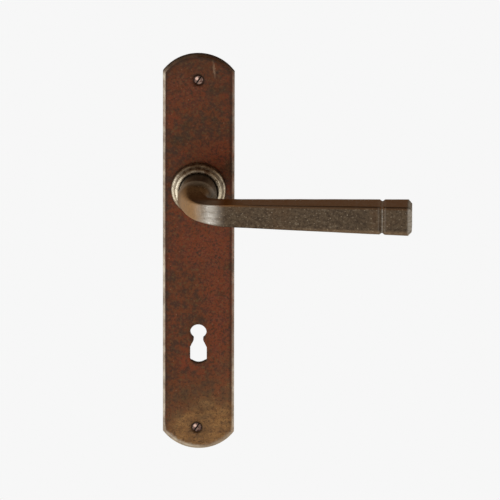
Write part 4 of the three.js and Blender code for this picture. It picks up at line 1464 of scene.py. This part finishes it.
def makeLever():
    skin = Skin()
    rings = skin.rings([leverSection(station) for station in leverStations()])
    skin.fan(rings[0])
    skin.fan(rings[-1])
    piece = newObject("lever_forged", tidyMesh(skin.mesh("lever", finishes["lever"]), 60))
    r, back, flats = lever["journal"], lever["journalBack"], lever["journalFlats"]
    low, high, groove = lever["clipGroove"]
    root = 9.5     # the journal's root, hidden inside the boss
    corners = [(0, bossBack - 1), (root, bossBack - 1), (root, bossBack), (r, bossBack),
               (r, low), (r - groove, low), (r - groove, high), (r, high),
               (r, back - 0.3), (r - 0.3, back), (0, back)]
    journal = grow("journal", profileFrom("journal", corners), "turning", finishes["lever"], Segments=96)
    combine(piece, "UNION", journal)
    s, flat = lever["socket"], stop["flat"]
    away = face - lever["grubAhead"]
    x, z = onCircle(spring["driveCircle"], math.radians(spring["anchor"] + 360 * spring["turns"]))
    pinEnd = bossBack - spring["pinSeat"] - gap
    carve(
        piece,
        boxTool((-s, -lever["spindleIn"], -s), (s, back + 1, s)),
        boxTool((-20, flats, -10), (-flat, back + 1, 10)),
        boxTool((flat, flats, -10), (20, back + 1, 10)),
        rodTool(lever["grubRadius"] + gap, (0, away, -20), (0, away, -4)),
        rodTool(spring["pinRadius"] + gap, (x, bossBack + 1, z), (x, pinEnd, z), 20),
    )
    tidyMesh(piece.data, 40)
    half = lever["grooveWidth"] / 2
    endEdge = lever["length"] - lever["endChamfer"]

    # painted highlights on the bend, the boss's upper left, the shoulder, the boss's front and the grip's
    # lower edge; the groove's flanks and lips and the end chamfer are lighter as rubbed metal and painted
    # highlight
    def wear_and_highlight(x, y, z):
        ahead = face - y
        if ahead < 4:
            return 0.12
        off = x - lever["groove"]
        flank = ramp(abs(off), half * 0.45, 0.0) * 0.30
        lip = ramp(abs(abs(off) - half - 0.05), 0.3, 0.05) * 0.12
        end = ramp(x, endEdge - 0.2, endEdge + 0.1) * 0.4
        bend = ramp(x, -4, 8) * ramp(x, 18, 7) * ramp(ahead, 34, 40) * 0.60
        root = ramp(-x, 5.5, 10.0) * ramp(ahead, 16, 7) * 0.55
        under = edgeNearness(x, y, z, below=True) * ramp(x, 35, 90) * 0.05
        rise = ramp(ahead, 16.4, 17.0) * ramp(ahead, 21.5, 17.6) * ramp(z, 0, 6) * 0.42
        crown = ramp(ahead, 8, 16) * ramp(ahead, 18, 16.5) * ramp(z, 2, 8) * 0.16
        return max(flank, lip, end, bend, root, under, rise, crown, 0.12 * ramp(ahead, 17, 15))

    def painted_warm_light(x, y, z, normal):
        # painted warm light: the bend's left-facing sides, the grip's lower front edge and the neck's upward
        # faces get a lit gold colour
        ahead = face - y
        outer = ramp(-normal.x, 0.05, 0.8)
        olive = edgeNearness(x, y, z, below=True) * ramp(x, 35, 90) * 0.24
        hollow = ramp(ahead, 19, 23) * ramp(ahead, 39, 34) * ramp(normal.z, 0.1, 0.6) * 0.34
        outer = outer * (0.55 + 0.45 * ramp(ahead, 17, 27)) * ramp(ahead, 9, 13) * ramp(x, 8, -1)
        return max(olive, hollow, outer)

    # painted reflection: the grip's top face gets a warm brown, as if mirroring warm light from above
    def top(x, y, z):
        if x > endEdge - 0.1:
            return 0.0
        along = alongGrip(x)
        halfHeight = between("gripHeight", "tipHeight", along) / 2
        height = z + lever["droop"] * max(0.0, along)
        return ramp(height, halfHeight - 1.2, halfHeight - 0.2) * ramp(x, 4, 14)

    # painted shade: in the groove and along the grip's upper front edge
    def grime_and_shade(x, y, z):
        off = x - lever["groove"]
        notch = ramp(abs(off + half * 0.45), half * 0.5, half * 0.15) * 0.05
        crease = edgeNearness(x, y, z, below=False) * ramp(x, 15, 40) * 0.85
        return max(notch, crease)

    setOwn(piece.data, "wear_and_highlight", wear_and_highlight)
    setOwn(piece.data, "painted_warm_light", painted_warm_light, facing=True)
    setOwn(piece.data, "top", top)
    setOwn(piece.data, "grime_and_shade", grime_and_shade)
    settle(piece, "lever_body", "lever_metal", "lever_handle")


def edgeNearness(x, y, z, below):
    # 1 on the grip's long front edge, above or below
    if x < 15:
        return 0.0
    along = alongGrip(x)
    halfHeight = between("gripHeight", "tipHeight", along) / 2
    halfDepth = between("gripDepth", "tipDepth", along) / 2
    edge = between("edge", "tipEdge", along) * (lever["edges"][2] if below else 1.0)
    v = z + lever["droop"] * max(0.0, along)
    u = face - lever["reach"] - y
    corner = (halfHeight + (v if below else -v)) + (halfDepth - u)
    return ramp(corner, edge * 1.15, edge * 0.95) if below else ramp(corner, 1.0, 0.35)


makeLever()
print("lever ready")


# spindle, grub screw and the pieces that hold the lever

hold = {
    "spindle": 8.0,
    "spindleBack": 62.0,
    "spindleFront": -17.0,
    "chamfer": 0.8,
    "corner": 0.25,
    "grubBottom": -10.15,
    "grubTop": -4.3,
    "hexagon": 2.5,
    "hexagonDepth": 2.0,
    "waveThickness": 0.5,
    "waveHeight": 1.1,
    "clipThickness": 1.0,
    "clipWidth": 2.2,
    "clipEar": 1.9,
    "clipEye": 0.8,
    "clipAngle": 26.0,
}


def makeSpindle():
    half, cut = hold["spindle"] / 2, hold["chamfer"]
    low, high = hold["spindleFront"], hold["spindleBack"]

    def section(size, y):
        loop = []
        straight = size - hold["corner"]
        for quarter, (a, b) in enumerate(((1, 1), (-1, 1), (-1, -1), (1, -1))):
            for k in range(4):
                px, pz = onCircle(hold["corner"], (quarter + k / 3) * math.pi / 2)
                loop.append((a * straight + px, y, b * straight + pz))
        return loop

    skin = Skin()
    levels = [(half - cut, low), (half, low + cut)]
    levels += [(half, low + cut + (high - low - 2 * cut) * i / 40) for i in range(1, 40)]
    levels += [(half, high - cut), (half - cut, high)]
    rings = skin.rings([section(size, y) for size, y in levels])
    skin.fan(rings[0])
    skin.fan(rings[-1])
    piece = newObject("spindle_square", tidyMesh(skin.mesh("spindle", finishes["steel"]), 30))
    settle(piece, "lever_body", "steel", "spindle")


def makeGrub():
    r, low, high = lever["grubRadius"], hold["grubBottom"], hold["grubTop"]
    corners = [(0, low), (r - 0.35, low), (r - 0.05, low + 0.3)]
    corners += [(r - 0.2, low + 0.35 + (high - low - 0.7) * i / 60) for i in range(61)]
    corners += [(r - 0.5, high), (0, high)]
    piece = grow(
        "grub_screw_hex", profileFrom("grub", corners), "turning", finishes["oiled"], Segments=36,
        Thread=0.2 * mm, Pitch=0.7 * mm, From=(low + 0.35) * mm, To=(high - 0.4) * mm)
    deep = low + hold["hexagonDepth"]
    carve(piece, rodTool(hold["hexagon"] / math.sqrt(3), (0, low - 1, 0), (0, deep, 0), 6))
    move(piece, 0, face - lever["grubAhead"], 0, turn=Matrix.Rotation(math.pi / 2, 4, "X"))
    tidyMesh(piece.data, 35)
    settle(piece, "lever_body", "spring_steel", "grub_screw")


def makeStopDisc():
    half = math.radians(stop["lobeHalf"])
    up = math.pi / 2
    corners = arc(0, 0, stop["disc"], up + half, up - half + tau, 110)
    corners += arc(0, 0, stop["lobe"], up - half, up + half, 28)
    loop = [(x, 0, z) for x, z in corners]
    key, flat = lever["journal"] + gap, stop["flat"] + gap
    bend = math.acos(flat / key)
    inner = arc(0, 0, key, bend, math.pi - bend, 40) + arc(0, 0, key, math.pi + bend, tau - bend, 40)
    hole = [(x, 0, z) for x, z in inner]
    front, back = stop["front"], stop["back"]
    outer = steppedEdge(loop, ((-0.15, front), (0, front + 0.15), (0, back - 0.15), (-0.15, back)))
    through = steppedEdge(hole, ((0.1, front), (0, front + 0.1), (0, back - 0.1), (0.1, back)))
    piece = slab("stop_disc_pressed", "steel", outer, [(through, "front back")])
    settle(piece, "lever_body", "steel", "stop_disc")


def makeWaveWasher():
    inner, outer = bush["inner"], bush["flange"] - 0.4
    low, high = stop["back"], stop["back"] + hold["waveThickness"]
    corners = [(inner, low, 0.08), (outer, low, 0.08), (outer, high, 0.08), (inner, high, 0.08)]
    piece = turnedPiece("wave_washer_sprung", corners, "oiled", segments=144)
    lift = (hold["waveHeight"] - hold["waveThickness"]) / 2
    for point in piece.data.vertices:
        point.co.y += lift * (1 - math.cos(3 * math.atan2(point.co.z, point.co.x))) * mm
    settle(piece, "lever_body", "spring_steel", "wave_washer")


def makeCirclip():
    low = stop["back"] + hold["waveHeight"]
    high = low + hold["clipThickness"]
    inner = lever["journal"] - lever["clipGroove"][2] + gap
    outer = inner + hold["clipWidth"]
    corners = [(inner, low), (outer, low), (outer, high), (inner, high)]
    piece = turnedPiece("circlip_sprung", corners, "oiled", 120, radius=0)
    eyes = []
    for side in (-1, 1):
        x, z = onCircle(outer + 0.4, math.pi / 2 + side * math.radians(hold["clipAngle"]))
        ear = rodTool(hold["clipEar"], (x, low, z), (x, high, z), 40)
        ear.data.materials.append(finishes["oiled"])
        combine(piece, "UNION", ear)
        eyes.append(rodTool(hold["clipEye"], (x, low - 1, z), (x, high + 1, z), 24))
    half = hold["clipWidth"]
    mouth = boxTool((-half, low - 1, 0), (half, high + 1, 2 * outer))
    carve(piece, mouth, rodTool(inner, (0, low - 1, 0), (0, high + 1, 0), 120), *eyes)
    easeEdges(piece, 0.08, 40)
    tidyMesh(piece.data, 35)
    settle(piece, "lever_body", "spring_steel", "circlip")


makeSpindle()
makeGrub()
makeStopDisc()
makeWaveWasher()
makeCirclip()
print("spindle and holding pieces ready")
